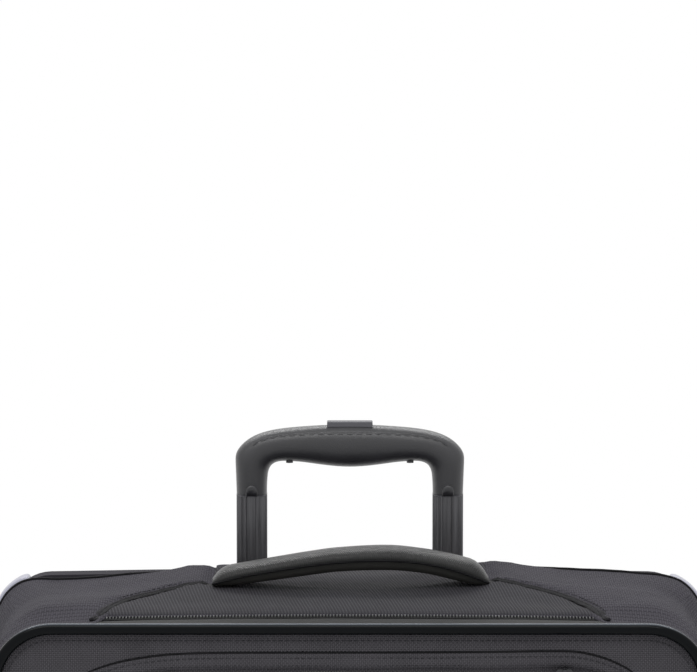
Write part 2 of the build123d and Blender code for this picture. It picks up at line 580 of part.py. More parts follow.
def make_grip():
    post_x = POST_SPACING / 2
    body = extrude(grip_outline(), GRIP_DEPTH)
    # The grip's long edges are rounded by two envelopes: one seen from the side, one seen from above.
    side_view = box(-100, 100, POST_Y - GRIP_DEPTH / 2, POST_Y + GRIP_DEPTH / 2, GRIP_SOCKET_Z, GRIP_TOP_Z)
    top_edges = side_view.faces().sort_by(Axis.Z)[-1].edges().filter_by(Axis.X)
    plan_view = box(-GRIP_HALF_WIDTH, GRIP_HALF_WIDTH, POST_Y - GRIP_DEPTH / 2, POST_Y + GRIP_DEPTH / 2,
                    GRIP_SOCKET_Z, GRIP_TOP_Z)
    body &= fillet(top_edges, GRIP_EDGE)
    body &= fillet(plan_view.edges().filter_by(Axis.Z), GRIP_EDGE)

    yoke_top = GRIP_TOP_Z - YOKE_DROP
    channel_bottom = yoke_top - YOKE_HEIGHT - BUTTON_TRAVEL - FIT
    channel = box(-post_x - 3.5, post_x + 3.5, POST_Y - 4.5 - FIT, POST_Y + 4.5 + FIT,
                  channel_bottom, yoke_top + FIT)
    slot = box(-BUTTON_WIDTH / 2 - FIT, BUTTON_WIDTH / 2 + FIT, POST_Y - BUTTON_DEPTH / 2 - FIT,
               POST_Y + BUTTON_DEPTH / 2 + FIT, yoke_top - BUTTON_TRAVEL - FIT, GRIP_TOP_Z + 5)
    spring_pocket = rod_z(SPRING_RADIUS + 1.2, GRIP_BELLY_Z + SPRING_FLOOR, yoke_top, 0, POST_Y)
    body -= channel + slot + spring_pocket
    for side in (-1, 1):
        x = side * post_x
        tenon = rounded_bar(PLUG_WIDTH, PLUG_DEPTH, GRIP_SOCKET_Z - TENON_LENGTH, GRIP_SOCKET_Z, x,
                            TUBE_CORNER - TUBE_WALL)
        body += tenon
        body -= rod_z(ROD_RADIUS + FIT, GRIP_SOCKET_Z - TENON_LENGTH - 1, channel_bottom + 1, x, POST_Y)
        body -= tab_block(x, 0.15)
        body -= grip_screw(side, SEAT)
    front = body & box(-FAR, FAR, POST_Y - FAR, POST_Y - SEAT / 2, 0, FAR)
    back = body & box(-FAR, FAR, POST_Y + SEAT / 2, POST_Y + FAR, 0, FAR)
    add("grip_front_shell", front)
    add("grip_back_shell", back)


def tab_block(x, grow):
    """The domed snap tab that shows at the front of each leg."""
    width = 9.3 + 2 * grow
    top = GRIP_SOCKET_Z + 8.6 + grow
    front = POST_Y - GRIP_DEPTH / 2
    straight = top - width / 2
    block = box(x - width / 2, x + width / 2, front - 0.2, front + 5.2 + grow, GRIP_SOCKET_Z - 1, straight)
    return block + rod_y(width / 2, front - 0.2, front + 5.2 + grow, x, straight)


def make_tubes():
    stops = [k * STOP_PITCH for k in range(-STOPS_BELOW_REST, STOPS_ABOVE_REST + 1)]
    outers = []
    inners = []
    fittings = []
    carriers = []
    for side in (-1, 1):
        x = side * POST_SPACING / 2
        outer = rounded_bar(OUTER_TUBE_WIDTH, OUTER_TUBE_DEPTH, OUTER_TUBE_BOTTOM, OUTER_TUBE_TOP, x,
                            TUBE_CORNER)
        outer -= rounded_bar(OUTER_TUBE_WIDTH - 2 * TUBE_WALL, OUTER_TUBE_DEPTH - 2 * TUBE_WALL,
                             OUTER_TUBE_BOTTOM - 1, OUTER_TUBE_TOP + 1, x, TUBE_CORNER - TUBE_WALL)
        for stop in stops:
            z = pin_height() + stop
            wall = x - side * OUTER_TUBE_WIDTH / 2
            outer -= rod_x(PIN_RADIUS + FIT, wall - 3, wall + 3, POST_Y, z)
        outers.append(outer)

        inner = rounded_bar(INNER_TUBE_WIDTH, INNER_TUBE_DEPTH, INNER_TUBE_BOTTOM, GRIP_SOCKET_Z - SEAT, x,
                            TUBE_CORNER)
        hollow = rounded_bar(INNER_TUBE_WIDTH - 2 * TUBE_WALL, INNER_TUBE_DEPTH - 2 * TUBE_WALL,
                             INNER_TUBE_BOTTOM - 1, GRIP_SOCKET_Z, x, TUBE_CORNER - TUBE_WALL)
        inner -= hollow
        groove_x = (-8.2, -3.0, 3.0, 8.2)
        for offset in groove_x:
            for face in (-1, 1):
                y = POST_Y + face * INNER_TUBE_DEPTH / 2
                inner -= box(x + offset - 0.9, x + offset + 0.9, y - 0.5, y + 0.5, INNER_TUBE_BOTTOM - 1,
                             GRIP_SOCKET_Z + 1)
        inners.append(inner)

        fittings.append(tab_block(x, 0) & box(-FAR, FAR, -FAR, FAR, GRIP_SOCKET_Z + SEAT, FAR))
        fittings.append(grip_screw(side, 0))
        carriers.append(carrier(x, side))
    add("outer_tubes", Compound(children=outers))
    add("inner_tubes", Compound(children=inners))
    add("grip_fittings", Compound(children=fittings))
    add("tube_carriers", Compound(children=carriers))


def grip_screw(side, grow):
    """The head of a screw that closes the grip from below, sunk in the underside of the crossbar."""
    x = side * SCREW_X
    arch_reach = POST_SPACING / 2 - SOCKET_HALF_WIDTH - INNER_CORNER
    skin = GRIP_BELLY_Z + (GRIP_ARCH_Z - GRIP_BELLY_Z) * (SCREW_X / arch_reach) ** 2
    return rod_z(2.6 + grow, skin + 0.8, skin + 4 + grow, x, POST_Y - 4)


def pin_height():
    """Height of the lock pins' axis with the handle at rest."""
    return INNER_TUBE_BOTTOM - 14


def carrier(x, side):
    """The moulded shoe in the foot of an inner tube, which slides in the outer tube and holds a lock pin."""
    z = INNER_TUBE_BOTTOM
    width = OUTER_TUBE_WIDTH - 2 * TUBE_WALL - 2 * FIT
    depth = OUTER_TUBE_DEPTH - 2 * TUBE_WALL - 2 * FIT
    shoe = rounded_bar(width, depth, z - 26, z - SEAT, x, 1.4)
    plug = rounded_bar(PLUG_WIDTH, PLUG_DEPTH, z - 1, z + 16, x, TUBE_CORNER - TUBE_WALL)
    body = shoe + plug
    body -= box(x - 6.8, x + 6.8, POST_Y - 1.4, POST_Y + 1.4, pin_height() - 11.8, pin_height() + 9)
    body -= rod_z(ROD_RADIUS + FIT, pin_height() + ROD_FOOT - BUTTON_TRAVEL - FIT, z + 17, x, POST_Y)
    bore = sorted((x - side * (width / 2 + 1), x + side * 6.6))
    body -= rod_x(PIN_RADIUS + FIT, *bore, POST_Y, pin_height())
    return body


def make_lock():
    """Button, yoke, push rods with slanted cam slots, and the two lock pins that the slots draw in."""
    post_x = POST_SPACING / 2
    yoke_top = GRIP_TOP_Z - YOKE_DROP
    yoke = box(-post_x - 3.2, post_x + 3.2, POST_Y - 4.5, POST_Y + 4.5, yoke_top - YOKE_HEIGHT, yoke_top)
    top = GRIP_TOP_Z + BUTTON_PROUD
    cap = box(-BUTTON_WIDTH / 2, BUTTON_WIDTH / 2, POST_Y - BUTTON_DEPTH / 2, POST_Y + BUTTON_DEPTH / 2,
              yoke_top + SEAT, top)
    add("release_button", fillet(cap.faces().sort_by(Axis.Z)[-1].edges(), 1.0))

    slope = math.degrees(math.atan2(PIN_TRAVEL, BUTTON_TRAVEL))
    for side, label in ((-1, "left"), (1, "right")):
        x = side * post_x
        z = pin_height()
        rod = rod_z(ROD_RADIUS, z + ROD_FOOT, yoke_top - YOKE_HEIGHT + 1, x, POST_Y)
        cam_x = sorted((x - side * 4.0, x + side * 6.4))
        cam = box(*cam_x, POST_Y - 1.0, POST_Y + 1.0, z - 7, z + 8)
        # The slot leans so that the pin is drawn in by PIN_TRAVEL while the cam goes down by BUTTON_TRAVEL.
        middle_x = x + side * PIN_TRAVEL / 2
        slot = Pos(middle_x, POST_Y, z + BUTTON_TRAVEL / 2) * Rot(0, side * slope, 0) * Box(
            2.5, 4, math.hypot(PIN_TRAVEL, BUTTON_TRAVEL) + 4)
        yoke += (rod + cam) - slot

        width = OUTER_TUBE_WIDTH - 2 * TUBE_WALL
        tip = x - side * (width / 2 - FIT)
        tail = x + side * 3.2
        pin = rod_x(PIN_RADIUS, *sorted((tip, tail)), POST_Y, z)
        fork = sorted((x - side * (4.0 + PIN_TRAVEL + FIT + 0.2), tail + side))
        pin -= box(*fork, POST_Y - 1.3, POST_Y + 1.3, z - 4, z + 4)
        pin += rod_y(0.9, POST_Y - 2, POST_Y + 2, x, z)
        add(f"lock_pin_{label}", pin)
    add("push_rods", yoke)

    # The return spring sits in a pocket of the grip under the middle of the yoke.
    coil_low = GRIP_BELLY_Z + SPRING_FLOOR
    coil_high = yoke_top - YOKE_HEIGHT - SEAT
    coil = Helix(pitch=2.6, height=coil_high - coil_low - 1.2, radius=SPRING_RADIUS,
                 center=(0, POST_Y, coil_low + 0.6))
    wire = sweep(Plane(origin=coil @ 0, z_dir=coil % 0) * Circle(0.5), coil)
    add("button_spring", wire)


def make_handle_housing():
    half = BEZEL_HALF_WIDTH
    bezel = box(-half, half, BACK_Y + SEAT, POST_Y + GRIP_DEPTH / 2 + 1.5, OUTER_TUBE_TOP - 12, BEZEL_TOP)
    bezel = fillet(bezel.edges().filter_by(Axis.Z), 6)
    foot = box(-half, half, BACK_Y + SEAT, POST_Y + 12, OUTER_TUBE_BOTTOM - 12, OUTER_TUBE_BOTTOM + 12)
    foot = fillet(foot.edges().filter_by(Axis.Z), 4)
    for side in (-1, 1):
        x = side * POST_SPACING / 2
        bezel -= rounded_bar(OUTER_TUBE_WIDTH + 2 * SEAT, OUTER_TUBE_DEPTH + 2 * SEAT, OUTER_TUBE_TOP - 20,
                             OUTER_TUBE_TOP + SEAT, x, TUBE_CORNER)
        bezel -= rounded_bar(INNER_TUBE_WIDTH + 2 * FIT, INNER_TUBE_DEPTH + 2 * FIT, OUTER_TUBE_TOP,
                             BEZEL_TOP + 1, x, TUBE_CORNER)
        foot -= rounded_bar(OUTER_TUBE_WIDTH + 2 * SEAT, OUTER_TUBE_DEPTH + 2 * SEAT, OUTER_TUBE_BOTTOM - SEAT,
                            OUTER_TUBE_BOTTOM + 20, x, TUBE_CORNER)
    add("tube_bezel", bezel)
    add("tube_foot", foot)

    low = OUTER_TUBE_BOTTOM + 12 + SEAT
    high = OUTER_TUBE_TOP - 12 - SEAT
    shroud = box(3 - half, half - 3, BACK_Y + SEAT, POST_Y + 13, low, high)
    shroud = fillet(shroud.faces().sort_by(Axis.Y)[-1].edges().filter_by(Axis.Z), 7)
    shroud -= box(5.5 - half, half - 5.5, BACK_Y - 1, POST_Y + 10.8, low - 1, high + 1)
    add("tube_shroud", shroud)

    screws = []
    for z in (OUTER_TUBE_BOTTOM, OUTER_TUBE_TOP - 6):
        face = POST_Y + 12 if z == OUTER_TUBE_BOTTOM else POST_Y + GRIP_DEPTH / 2 + 1.5
        for x in (-0.4 * half, 0, 0.4 * half):
            head = rod_y(3.5, face + SEAT, face + 1.8, x, z)
            screws.append(head)
    add("housing_screws", Compound(children=screws))


# ---- Carry handles ------------------------------------------------------------------------------

def make_carry_handles():
    base = CASE_TOP_Z + CROWN_MIDDLE
    low_apex = HANDLE_APEX_Z - HANDLE_THICK
    front = HANDLE_Y + HANDLE_WIDTH / 2
    with BuildSketch(Plane.XZ.offset(-front)) as sketch:
        with BuildLine():
            crest = (HANDLE_APEX_X, HANDLE_APEX_Z)
            ThreePointArc((-HANDLE_SPAN, base + 2.5), crest, (HANDLE_SPAN, base + 2.5))
            Line((HANDLE_SPAN, base + 2.5), (HANDLE_SPAN - 8, base + 0.8))
            underside = (HANDLE_APEX_X, low_apex)
            ThreePointArc((HANDLE_SPAN - 8, base + 0.8), underside, (8 - HANDLE_SPAN, base + 0.8))
            Line((-HANDLE_SPAN + 8, base + 0.8), (-HANDLE_SPAN, base + 2.5))
        make_face()
    pad = extrude(sketch.sketch, HANDLE_WIDTH)
    top_edges = pad.faces().filter_by(Axis.Y).edges().group_by(Axis.Z)[-1]
    add("top_handle_pad", fillet(top_edges, 6))

    anchors = []
    for side in (-1, 1):
        x0 = HANDLE_SPAN + 1.2
        z = top_surface_z(x0 + 14, HANDLE_Y)
        anchor = box(x0, x0 + 20, HANDLE_Y - 12, HANDLE_Y + 12, z - 2, z + 3.4)
        anchor = fillet(anchor.edges().filter_by(Axis.Z), 4)
        anchor -= case_block(-SEAT, SEAM_Y, BACK_Y)
        if side < 0:
            anchor = mirror(anchor, Plane.YZ)
        anchors.append(anchor)

    face = HALF_WIDTH + 0.8
    apex = face + SIDE_HANDLE_RISE - 0.8
    z0 = SIDE_HANDLE_Z - SIDE_HANDLE_SPAN
    z1 = SIDE_HANDLE_Z + SIDE_HANDLE_SPAN
    side_y = HANDLE_Y + 8
    with BuildSketch(Plane.XZ.offset(-(side_y + 14))) as sketch:
        with BuildLine():
            ThreePointArc((face + 2, z0), (apex, SIDE_HANDLE_Z), (face + 2, z1))
            Line((face + 2, z1), (face, z1 - 6))
            ThreePointArc((face, z1 - 6), (apex - SIDE_HANDLE_THICK, SIDE_HANDLE_Z), (face, z0 + 6))
            Line((face, z0 + 6), (face + 2, z0))
        make_face()
    side_pad = extrude(sketch.sketch, 28)
    edges = side_pad.faces().filter_by(Axis.Y).edges().group_by(Axis.X)[-1]
    add("side_handle_pad", fillet(edges, 4))

    for z in (z0 - 14, z1 + 14):
        anchor = box(HALF_WIDTH + SEAT, HALF_WIDTH + 3.4, side_y - 12, side_y + 12, z - 12, z + 12)
        anchors.append(fillet(anchor.edges().filter_by(Axis.X), 4))
    add("handle_anchors", Compound(children=anchors))


# ---- Zipper sliders and pulls -------------------------------------------------------------------

SLIDER_LENGTH = 13.0
SLIDER_WIDTH = 9.0
PULL_LENGTH = 34.0
PULL_WIDTH = 8.0
PULL_PIVOT = 3.8              # from a slider's wing to the axis its pull hangs on
MAIN_SLIDER_Z = (330.0, 274.0)   # upper and lower slider on the right side
POCKET_SLIDER_X = POCKET_HALF_WIDTH - 53.0


def make_main_sliders():
    """Two sliders on the right side's chain, each with wings outside and inside and a neck in the gap."""
    outside = HALF_WIDTH + CHAIN_PROUD + FIT + 0.1
    inside = HALF_WIDTH - LID_INSET + CHAIN_PROUD - CHAIN_THICK - FIT
    for label, z in zip(("upper", "lower"), MAIN_SLIDER_Z):
        wing = box(outside, outside + 2.0, SEAM_Y - SLIDER_WIDTH / 2, SEAM_Y + SLIDER_WIDTH / 2,
                   z - SLIDER_LENGTH / 2, z + SLIDER_LENGTH / 2)
        wing = fillet(wing.edges().filter_by(Axis.X), 2.5)
        neck = box(inside - 0.1, outside + 0.1, SEAM_Y - 0.25, SEAM_Y + 0.25, z - 3, z + 3)
        shoe = box(inside - 1.6, inside, SEAM_Y - 3.0, SEAM_Y + 3.0, z - 5, z + 5)
        pivot = outside + PULL_PIVOT
        loop = box(outside + 1.8, pivot + 1.8, SEAM_Y - 1.2, SEAM_Y + 1.2, z - 4.5, z + 4.5)
        loop -= rod_y(1.2, SEAM_Y - 3, SEAM_Y + 3, pivot, z)
        add(f"main_slider_{label}", wing + neck + shoe + loop)

        tab = box(pivot - 1, pivot + 1, SEAM_Y - PULL_WIDTH / 2, SEAM_Y + PULL_WIDTH / 2,
                  z - PULL_LENGTH, z + 1.2)
        tab -= box(outside, outside + 8, SEAM_Y - 1.6, SEAM_Y + 1.6, z - 5.2, z + 5.2)
        cross = rod_y(0.9, SEAM_Y - 2.2, SEAM_Y + 2.2, pivot, z)
        add(f"main_pull_{label}", tab + cross)


def make_pocket_sliders():
    """One slider with a hanging pull on each pocket's chain."""
    front = LID_FRONT_Y - SEAT
    rows = (("upper", UPPER_POCKET_TOP, UPPER_POCKET_DEPTH), ("lower", LOWER_POCKET_TOP, LOWER_POCKET_DEPTH))
    for label, top, depth in rows:
        z = top - POCKET_ZIP_DROP
        face = front - depth - FIT
        wing = box(POCKET_SLIDER_X - 6, POCKET_SLIDER_X + 6, face - 2.0, face, z - 4.5, z + 4.5)
        wing = fillet(wing.edges().filter_by(Axis.Y), 2.5)
        stem = box(POCKET_SLIDER_X - 3, POCKET_SLIDER_X + 3, face - 0.2, front - 3.4 - FIT, z - 1.2, z + 1.2)
        pivot = face - PULL_PIVOT
        loop = box(POCKET_SLIDER_X - 1.2, POCKET_SLIDER_X + 1.2, pivot - 1.8, face - 1.8, z - 4.5, z + 4.5)
        loop -= rod_x(1.2, POCKET_SLIDER_X - 3, POCKET_SLIDER_X + 3, pivot, z)
        add(f"{label}_pocket_slider", wing + stem + loop)
        tab = box(POCKET_SLIDER_X - PULL_WIDTH / 2, POCKET_SLIDER_X + PULL_WIDTH / 2, pivot - 1, pivot + 1,
                  z - PULL_LENGTH, z + 1.2)
        tab -= box(POCKET_SLIDER_X - 1.6, POCKET_SLIDER_X + 1.6, face - 8, face, z - 5.2, z + 5.2)
        cross = rod_x(0.9, POCKET_SLIDER_X - 2.2, POCKET_SLIDER_X + 2.2, pivot, z)
        add(f"{label}_pocket_pull", tab + cross)


# ---- Packing straps inside ----------------------------------------------------------------------

def make_straps():
    back = BACK_Y - 5 - LINING - SEAT
    straps = []
    for z in (CASE_BOTTOM_Z + 0.3124 * CASE_HEIGHT, CASE_BOTTOM_Z + 0.6646 * CASE_HEIGHT):
        straps.append(box(-HALF_WIDTH + 16, HALF_WIDTH - 16, back - 1.6, back, z - 12.5, z + 12.5))
        buckle = box(-22, 22, back - 7.6, back - 1.6 - SEAT, z - 17, z + 17)
        straps.append(fillet(buckle.edges().filter_by(Axis.Y), 6))
    add("packing_straps", Compound(children=straps))


# ---- Build --------------------------------------------------------------------------------------

make_wheels()
make_case()
make_arch_piping()
make_base()
make_lid()
make_pockets()
make_grip()
make_tubes()
make_lock()
make_handle_housing()
make_carry_handles()
make_main_sliders()
make_pocket_sliders()
make_straps()

os.makedirs("parts", exist_ok=True)
for name, shape in parts.items():
    export_step(shape, f"parts/{name}.step")
    print(name, round(sum(s.volume for s in shape.solids())), len(shape.solids()))
print(len(parts), "nodes")
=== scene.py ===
# %% [markdown]
# # A softside upright suitcase
# The CAD frame gives every hard part its true size and tells which piece moves with which joint.
# This script dresses that frame. Sewn fabric, piping, zippers, the padded handles, the grip and the posts are
# built as new meshes over it, and the hard parts that already have their shape only get a finish.

# %% Load the frame
import json
import math
import bmesh
import bpy
import numpy as np
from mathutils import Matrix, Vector


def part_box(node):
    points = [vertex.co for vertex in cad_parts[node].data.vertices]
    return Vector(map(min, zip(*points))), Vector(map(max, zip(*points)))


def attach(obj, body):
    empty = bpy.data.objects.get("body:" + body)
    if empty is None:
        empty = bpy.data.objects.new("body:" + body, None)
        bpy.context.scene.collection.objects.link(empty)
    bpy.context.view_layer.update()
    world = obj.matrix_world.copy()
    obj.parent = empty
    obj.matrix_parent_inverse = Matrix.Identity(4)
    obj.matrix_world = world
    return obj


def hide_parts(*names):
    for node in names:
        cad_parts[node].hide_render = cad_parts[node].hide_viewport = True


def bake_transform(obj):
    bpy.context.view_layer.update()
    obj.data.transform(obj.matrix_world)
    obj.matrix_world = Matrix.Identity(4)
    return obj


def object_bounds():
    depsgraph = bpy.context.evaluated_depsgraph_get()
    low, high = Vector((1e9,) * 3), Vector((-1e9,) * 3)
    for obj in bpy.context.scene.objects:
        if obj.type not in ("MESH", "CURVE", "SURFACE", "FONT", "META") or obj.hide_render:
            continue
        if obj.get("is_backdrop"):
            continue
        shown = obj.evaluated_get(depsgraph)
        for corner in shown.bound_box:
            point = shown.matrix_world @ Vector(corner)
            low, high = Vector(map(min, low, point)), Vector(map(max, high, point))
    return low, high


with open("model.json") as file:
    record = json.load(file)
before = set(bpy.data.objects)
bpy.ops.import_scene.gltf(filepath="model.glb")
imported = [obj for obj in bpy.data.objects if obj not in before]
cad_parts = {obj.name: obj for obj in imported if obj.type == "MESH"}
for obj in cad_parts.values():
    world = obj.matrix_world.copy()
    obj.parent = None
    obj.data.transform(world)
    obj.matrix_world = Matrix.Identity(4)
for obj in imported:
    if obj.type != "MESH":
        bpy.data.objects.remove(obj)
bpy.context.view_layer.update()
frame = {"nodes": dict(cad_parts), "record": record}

# %% [markdown]
# ## Shapes as arrays
# Almost everything on a suitcase is swept along a line: piping, tape, teeth, stitches, padded tubes. A shape
# here is a pair, points in millimetres and faces, so that shapes can be joined before they become one Blender
# object. Numpy keeps thousands of zipper teeth cheap.

# %% Sheets and tubes


def sheet_of(rows, close_rows=False, close_points=False):
    """A sheet of quads through rows of points, all rows of equal length."""
    rows = np.asarray(rows, float)
    count, across = rows.shape[:2]
    faces = []
    for r in range(count if close_rows else count - 1):
        below = (r + 1) % count
        for p in range(across if close_points else across - 1):
            right = (p + 1) % across
            faces.append((r * across + p, r * across + right, below * across + right, below * across + p))
    return rows.reshape(-1, 3), faces


def capped(shape, across):
    """Closes both ends of a tube whose rows have that many points."""
    points, faces = shape
    last = len(points) - 1
    return points, faces + [tuple(range(across)), tuple(range(last, last - across, -1))]


def frames_along(path, up=(0, 1, 0), closed=False):
    """The direction of travel and two sideways directions at each point of a path."""
    path = np.asarray(path, float)
    if closed:
        travel = np.roll(path, -1, 0) - np.roll(path, 1, 0)
    else:
        travel = np.gradient(path, axis=0)
    travel /= np.linalg.norm(travel, axis=1)[:, None]
    side = np.cross(travel, np.asarray(up, float))
    side /= np.linalg.norm(side, axis=1)[:, None]
    return travel, side, np.cross(side, travel)


def tube_of(path, radius, sides=10, closed=False, up=(0, 1, 0), flat=1.0):
    """A round or flattened tube along a path."""
    path = np.asarray(path, float)
    travel, side, rise = frames_along(path, up, closed)
    radius = np.broadcast_to(np.asarray(radius, float), (len(path),))
    rows = []
    for k in range(len(path)):
        turn = 2 * np.pi * np.arange(sides) / sides
        round_it = np.outer(np.cos(turn), side[k]) + flat * np.outer(np.sin(turn), rise[k])
        rows.append(path[k] + radius[k] * round_it)
    shape = sheet_of(rows, closed, True)
    return shape if closed else capped(shape, sides)


def copies_of(shape, places, axes):
    """A small shape set down many times. axes holds three directions for each place."""
    points, faces = shape
    all_points = []
    all_faces = []
    for k, (place, axis) in enumerate(zip(places, axes)):
        all_points.append(place + points @ np.asarray(axis))
        all_faces += [tuple(i + k * len(points) for i in face) for face in faces]
    return np.concatenate(all_points), all_faces


def joined(*shapes):
    """Several shapes as one."""
    points = []
    faces = []
    start = 0
    for shape_points, shape_faces in shapes:
        points.append(shape_points)
        faces += [tuple(i + start for i in face) for face in shape_faces]
        start += len(shape_points)
    return np.concatenate(points), faces


def spaced(path, step, closed=False):
    """Points at even steps along a path."""
    path = np.asarray(path, float)
    if closed:
        path = np.vstack([path, path[:1]])
    runs = np.linalg.norm(np.diff(path, axis=0), axis=1)
    along = np.concatenate([[0], np.cumsum(runs)])
    count = max(2, int(round(along[-1] / step)))
    wanted = np.linspace(0, along[-1], count + 1)
    if closed:
        wanted = wanted[:-1]
    return np.stack([np.interp(wanted, along, path[:, i]) for i in range(3)], 1)


def tapered(k, count, steps):
    """A share for slice k of a row: one of the steps near either end, otherwise 1."""
    end = min(k, count - 1 - k)
    return steps[end] if end < len(steps) else 1.0


def closed_middle(rings):
    """Rings that shrink towards a middle, closed there by one face."""
    points, faces = sheet_of(rings, close_points=True)
    return points, faces + [tuple(range(len(points) - len(rings[0]), len(points)))]


def evened(plan, count):
    """A closed flat outline as that many points, evenly spread."""
    fine = spaced(np.column_stack([plan, np.zeros(len(plan))]), 1.0, True)
    return fine[np.linspace(0, len(fine), count, endpoint=False).astype(int)][:, :2]


def upright(plan, y, lift=0.0):
    """A flat outline stood up at a depth, as points in space."""
    return np.column_stack([plan[:, 0], np.broadcast_to(y, len(plan)), plan[:, 1] + lift])


def ripple(points, size, seed):
    """Smooth repeatable unevenness between -1 and 1, with bumps about size millimetres long."""
    draw = np.random.default_rng(seed)
    total = np.zeros(len(points))
    for _ in range(7):
        wave = draw.normal(size=3)
        wave *= 2 * np.pi / (size * draw.uniform(0.7, 1.8) * np.linalg.norm(wave))
        total += np.sin(points @ wave + draw.uniform(0, 2 * np.pi))
    return total / 3.2


# %% Turning a shape into a piece
pieces_made = []


def piece(name, shape, body, finish, stands_for=(), smooth=True):
    """Makes the Blender object and says what it rides on, what it replaces and which finish it takes."""
    points, faces = shape
    mesh = bpy.data.meshes.new(name)
    mesh.from_pydata((np.asarray(points) / 1000).tolist(), [], faces)
    mesh.validate()
    mesh.update()
    obj = bpy.data.objects.new(name, mesh)
    bpy.context.scene.collection.objects.link(obj)
    if smooth:
        mesh.shade_smooth()
    mesh.materials.append(finish)
    outward(obj)
    if body:
        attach(obj, body)
    if stands_for:
        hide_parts(*stands_for)
    pieces_made.append(name)
    return obj


def outward(obj):
    """Makes all the faces of each closed part look outwards."""
    work = bmesh.new()
    work.from_mesh(obj.data)
    bmesh.ops.recalc_face_normals(work, faces=work.faces)
    work.to_mesh(obj.data)
    work.free()


def soften(obj, levels=1):
    """Applies a subdivision surface, so that the piece is rounded in its mesh and not only in its shading."""
    modifier = obj.modifiers.new("rounding", "SUBSURF")
    modifier.levels = modifier.render_levels = levels
    apply_modifiers(obj)
    return obj


def apply_modifiers(obj):
    """Replaces the mesh with what its modifiers make of it."""
    graph = bpy.context.evaluated_depsgraph_get()
    graph.update()
    made = bpy.data.meshes.new_from_object(obj.evaluated_get(graph))
    obj.modifiers.clear()
    old = obj.data
    obj.data = made
    bpy.data.meshes.remove(old)
    obj.data.shade_smooth()


# %% [markdown]
# ## Finishes
# A finish is a shader graph. Writing it node by node hides the idea, so one small class lets a socket be used
# in ordinary arithmetic: `1 - mask` adds the Math node itself. Colours are only ever mixed, never added.

# %% Shader sockets as numbers


class Wire:
    """One output in a shader graph."""

    def __init__(self, graph, socket):
        self.graph = graph
        self.socket = socket

    def with_(self, operation, other=0.0, first=False):
        pair = (other, self) if first else (self, other)
        return self.graph.node("ShaderNodeMath", {"operation": operation}, {0: pair[0], 1: pair[1]})

    def __add__(self, other):
        return self.with_("ADD", other)

    def __radd__(self, other):
        return self.with_("ADD", other, True)

    def __sub__(self, other):
        return self.with_("SUBTRACT", other)

    def __rsub__(self, other):
        return self.with_("SUBTRACT", other, True)

    def __mul__(self, other):
        return self.with_("MULTIPLY", other)

    def __rmul__(self, other):
        return self.with_("MULTIPLY", other, True)

    def __gt__(self, other):
        return self.with_("GREATER_THAN", other)

    def sin(self):
        return self.with_("SINE")

    def size(self):
        return self.with_("ABSOLUTE")

    def most(self, other):
        return self.with_("MAXIMUM", other)

    def least(self, other):
        return self.with_("MINIMUM", other)


class Finish:
    """A material under construction."""

    def __init__(self, name, colour, roughness, metallic=0.0, coat=0.0, specular=0.5):
        self.material = bpy.data.materials.new(name)
        self.material.use_nodes = True
        self.tree = self.material.node_tree
        self.shader = self.tree.nodes["Principled BSDF"]
        self.colour = colour
        plain = {"Base Color": (*colour, 1), "Roughness": roughness, "Metallic": metallic,
                 "Coat Weight": coat, "Coat Roughness": 0.1, "Specular IOR Level": specular}
        for socket, value in plain.items():
            self.shader.inputs[socket].default_value = value
        self.material.diffuse_color = (*colour, 1)

    def node(self, kind, settings=None, sockets=None, out=0):
        """Adds any node: settings first, then the values or links of its sockets."""
        made = self.tree.nodes.new(kind)
        for key, value in (settings or {}).items():
            if key == "stops":
                ramp = made.color_ramp
                while len(ramp.elements) < len(value):
                    ramp.elements.new(0.5)
                for stop, (place, tone) in zip(ramp.elements, value):
                    stop.position = place
                    stop.color = (tone, tone, tone, 1)
            else:
                setattr(made, key, value)
        for key, value in (sockets or {}).items():
            if isinstance(value, Wire):
                self.tree.links.new(value.socket, made.inputs[key])
            else:
                made.inputs[key].default_value = value
        return Wire(self, made.outputs[out])

    def place(self):
        """Where a point lies on the resting object, in metres, split into X, Y and Z."""
        spot = self.node("ShaderNodeTexCoord", out="Object")
        return spot, [self.node("ShaderNodeSeparateXYZ", {}, {0: spot}, out=i) for i in range(3)]

    def noise(self, size_mm, detail=2.0, spot=None):
        """Cloudy unevenness from 0 to 1, with features about size_mm across."""
        spot = spot or self.place()[0]
        sockets = {"Vector": spot, "Scale": 1000 / size_mm, "Detail": detail}
        return self.node("ShaderNodeTexNoise", {}, sockets)

    def blend(self, mask, low, high):
        """A colour that goes from low to high as the mask goes from 0 to 1."""
        low, high = [c if isinstance(c, Wire) else (*c, 1) for c in (low, high)]
        return self.node("ShaderNodeMix", {"data_type": "RGBA"}, {0: mask, 6: low, 7: high}, out=2)

    def tones(self, dark, light):
        """The finish's own colour made darker and lighter."""
        return [tuple(c * k for c in self.colour) for k in (dark, light)]

    def bump(self, height, depth_mm):
        sockets = {"Strength": 1.0, "Distance": depth_mm / 1000, "Height": height}
        raised = self.node("ShaderNodeBump", {}, sockets)
        self.tree.links.new(raised.socket, self.shader.inputs["Normal"])

    def feed(self, **links):
        for socket, wire in links.items():
            self.tree.links.new(wire.socket, self.shader.inputs[socket.replace("_", " ")])
        return self.material


# %% [markdown]
# ## Woven nylon
# Ballistic nylon is a plain weave of thick, shiny yarn. Each crossing shows either the warp or the weft on
# top, so a chequer of two rounded ridges gives both the height and the slight change of tone. The threads
# must lie along the cloth, so the pattern picks the two axes that run along each face and needs no UV map.

# %% Fabric finishes


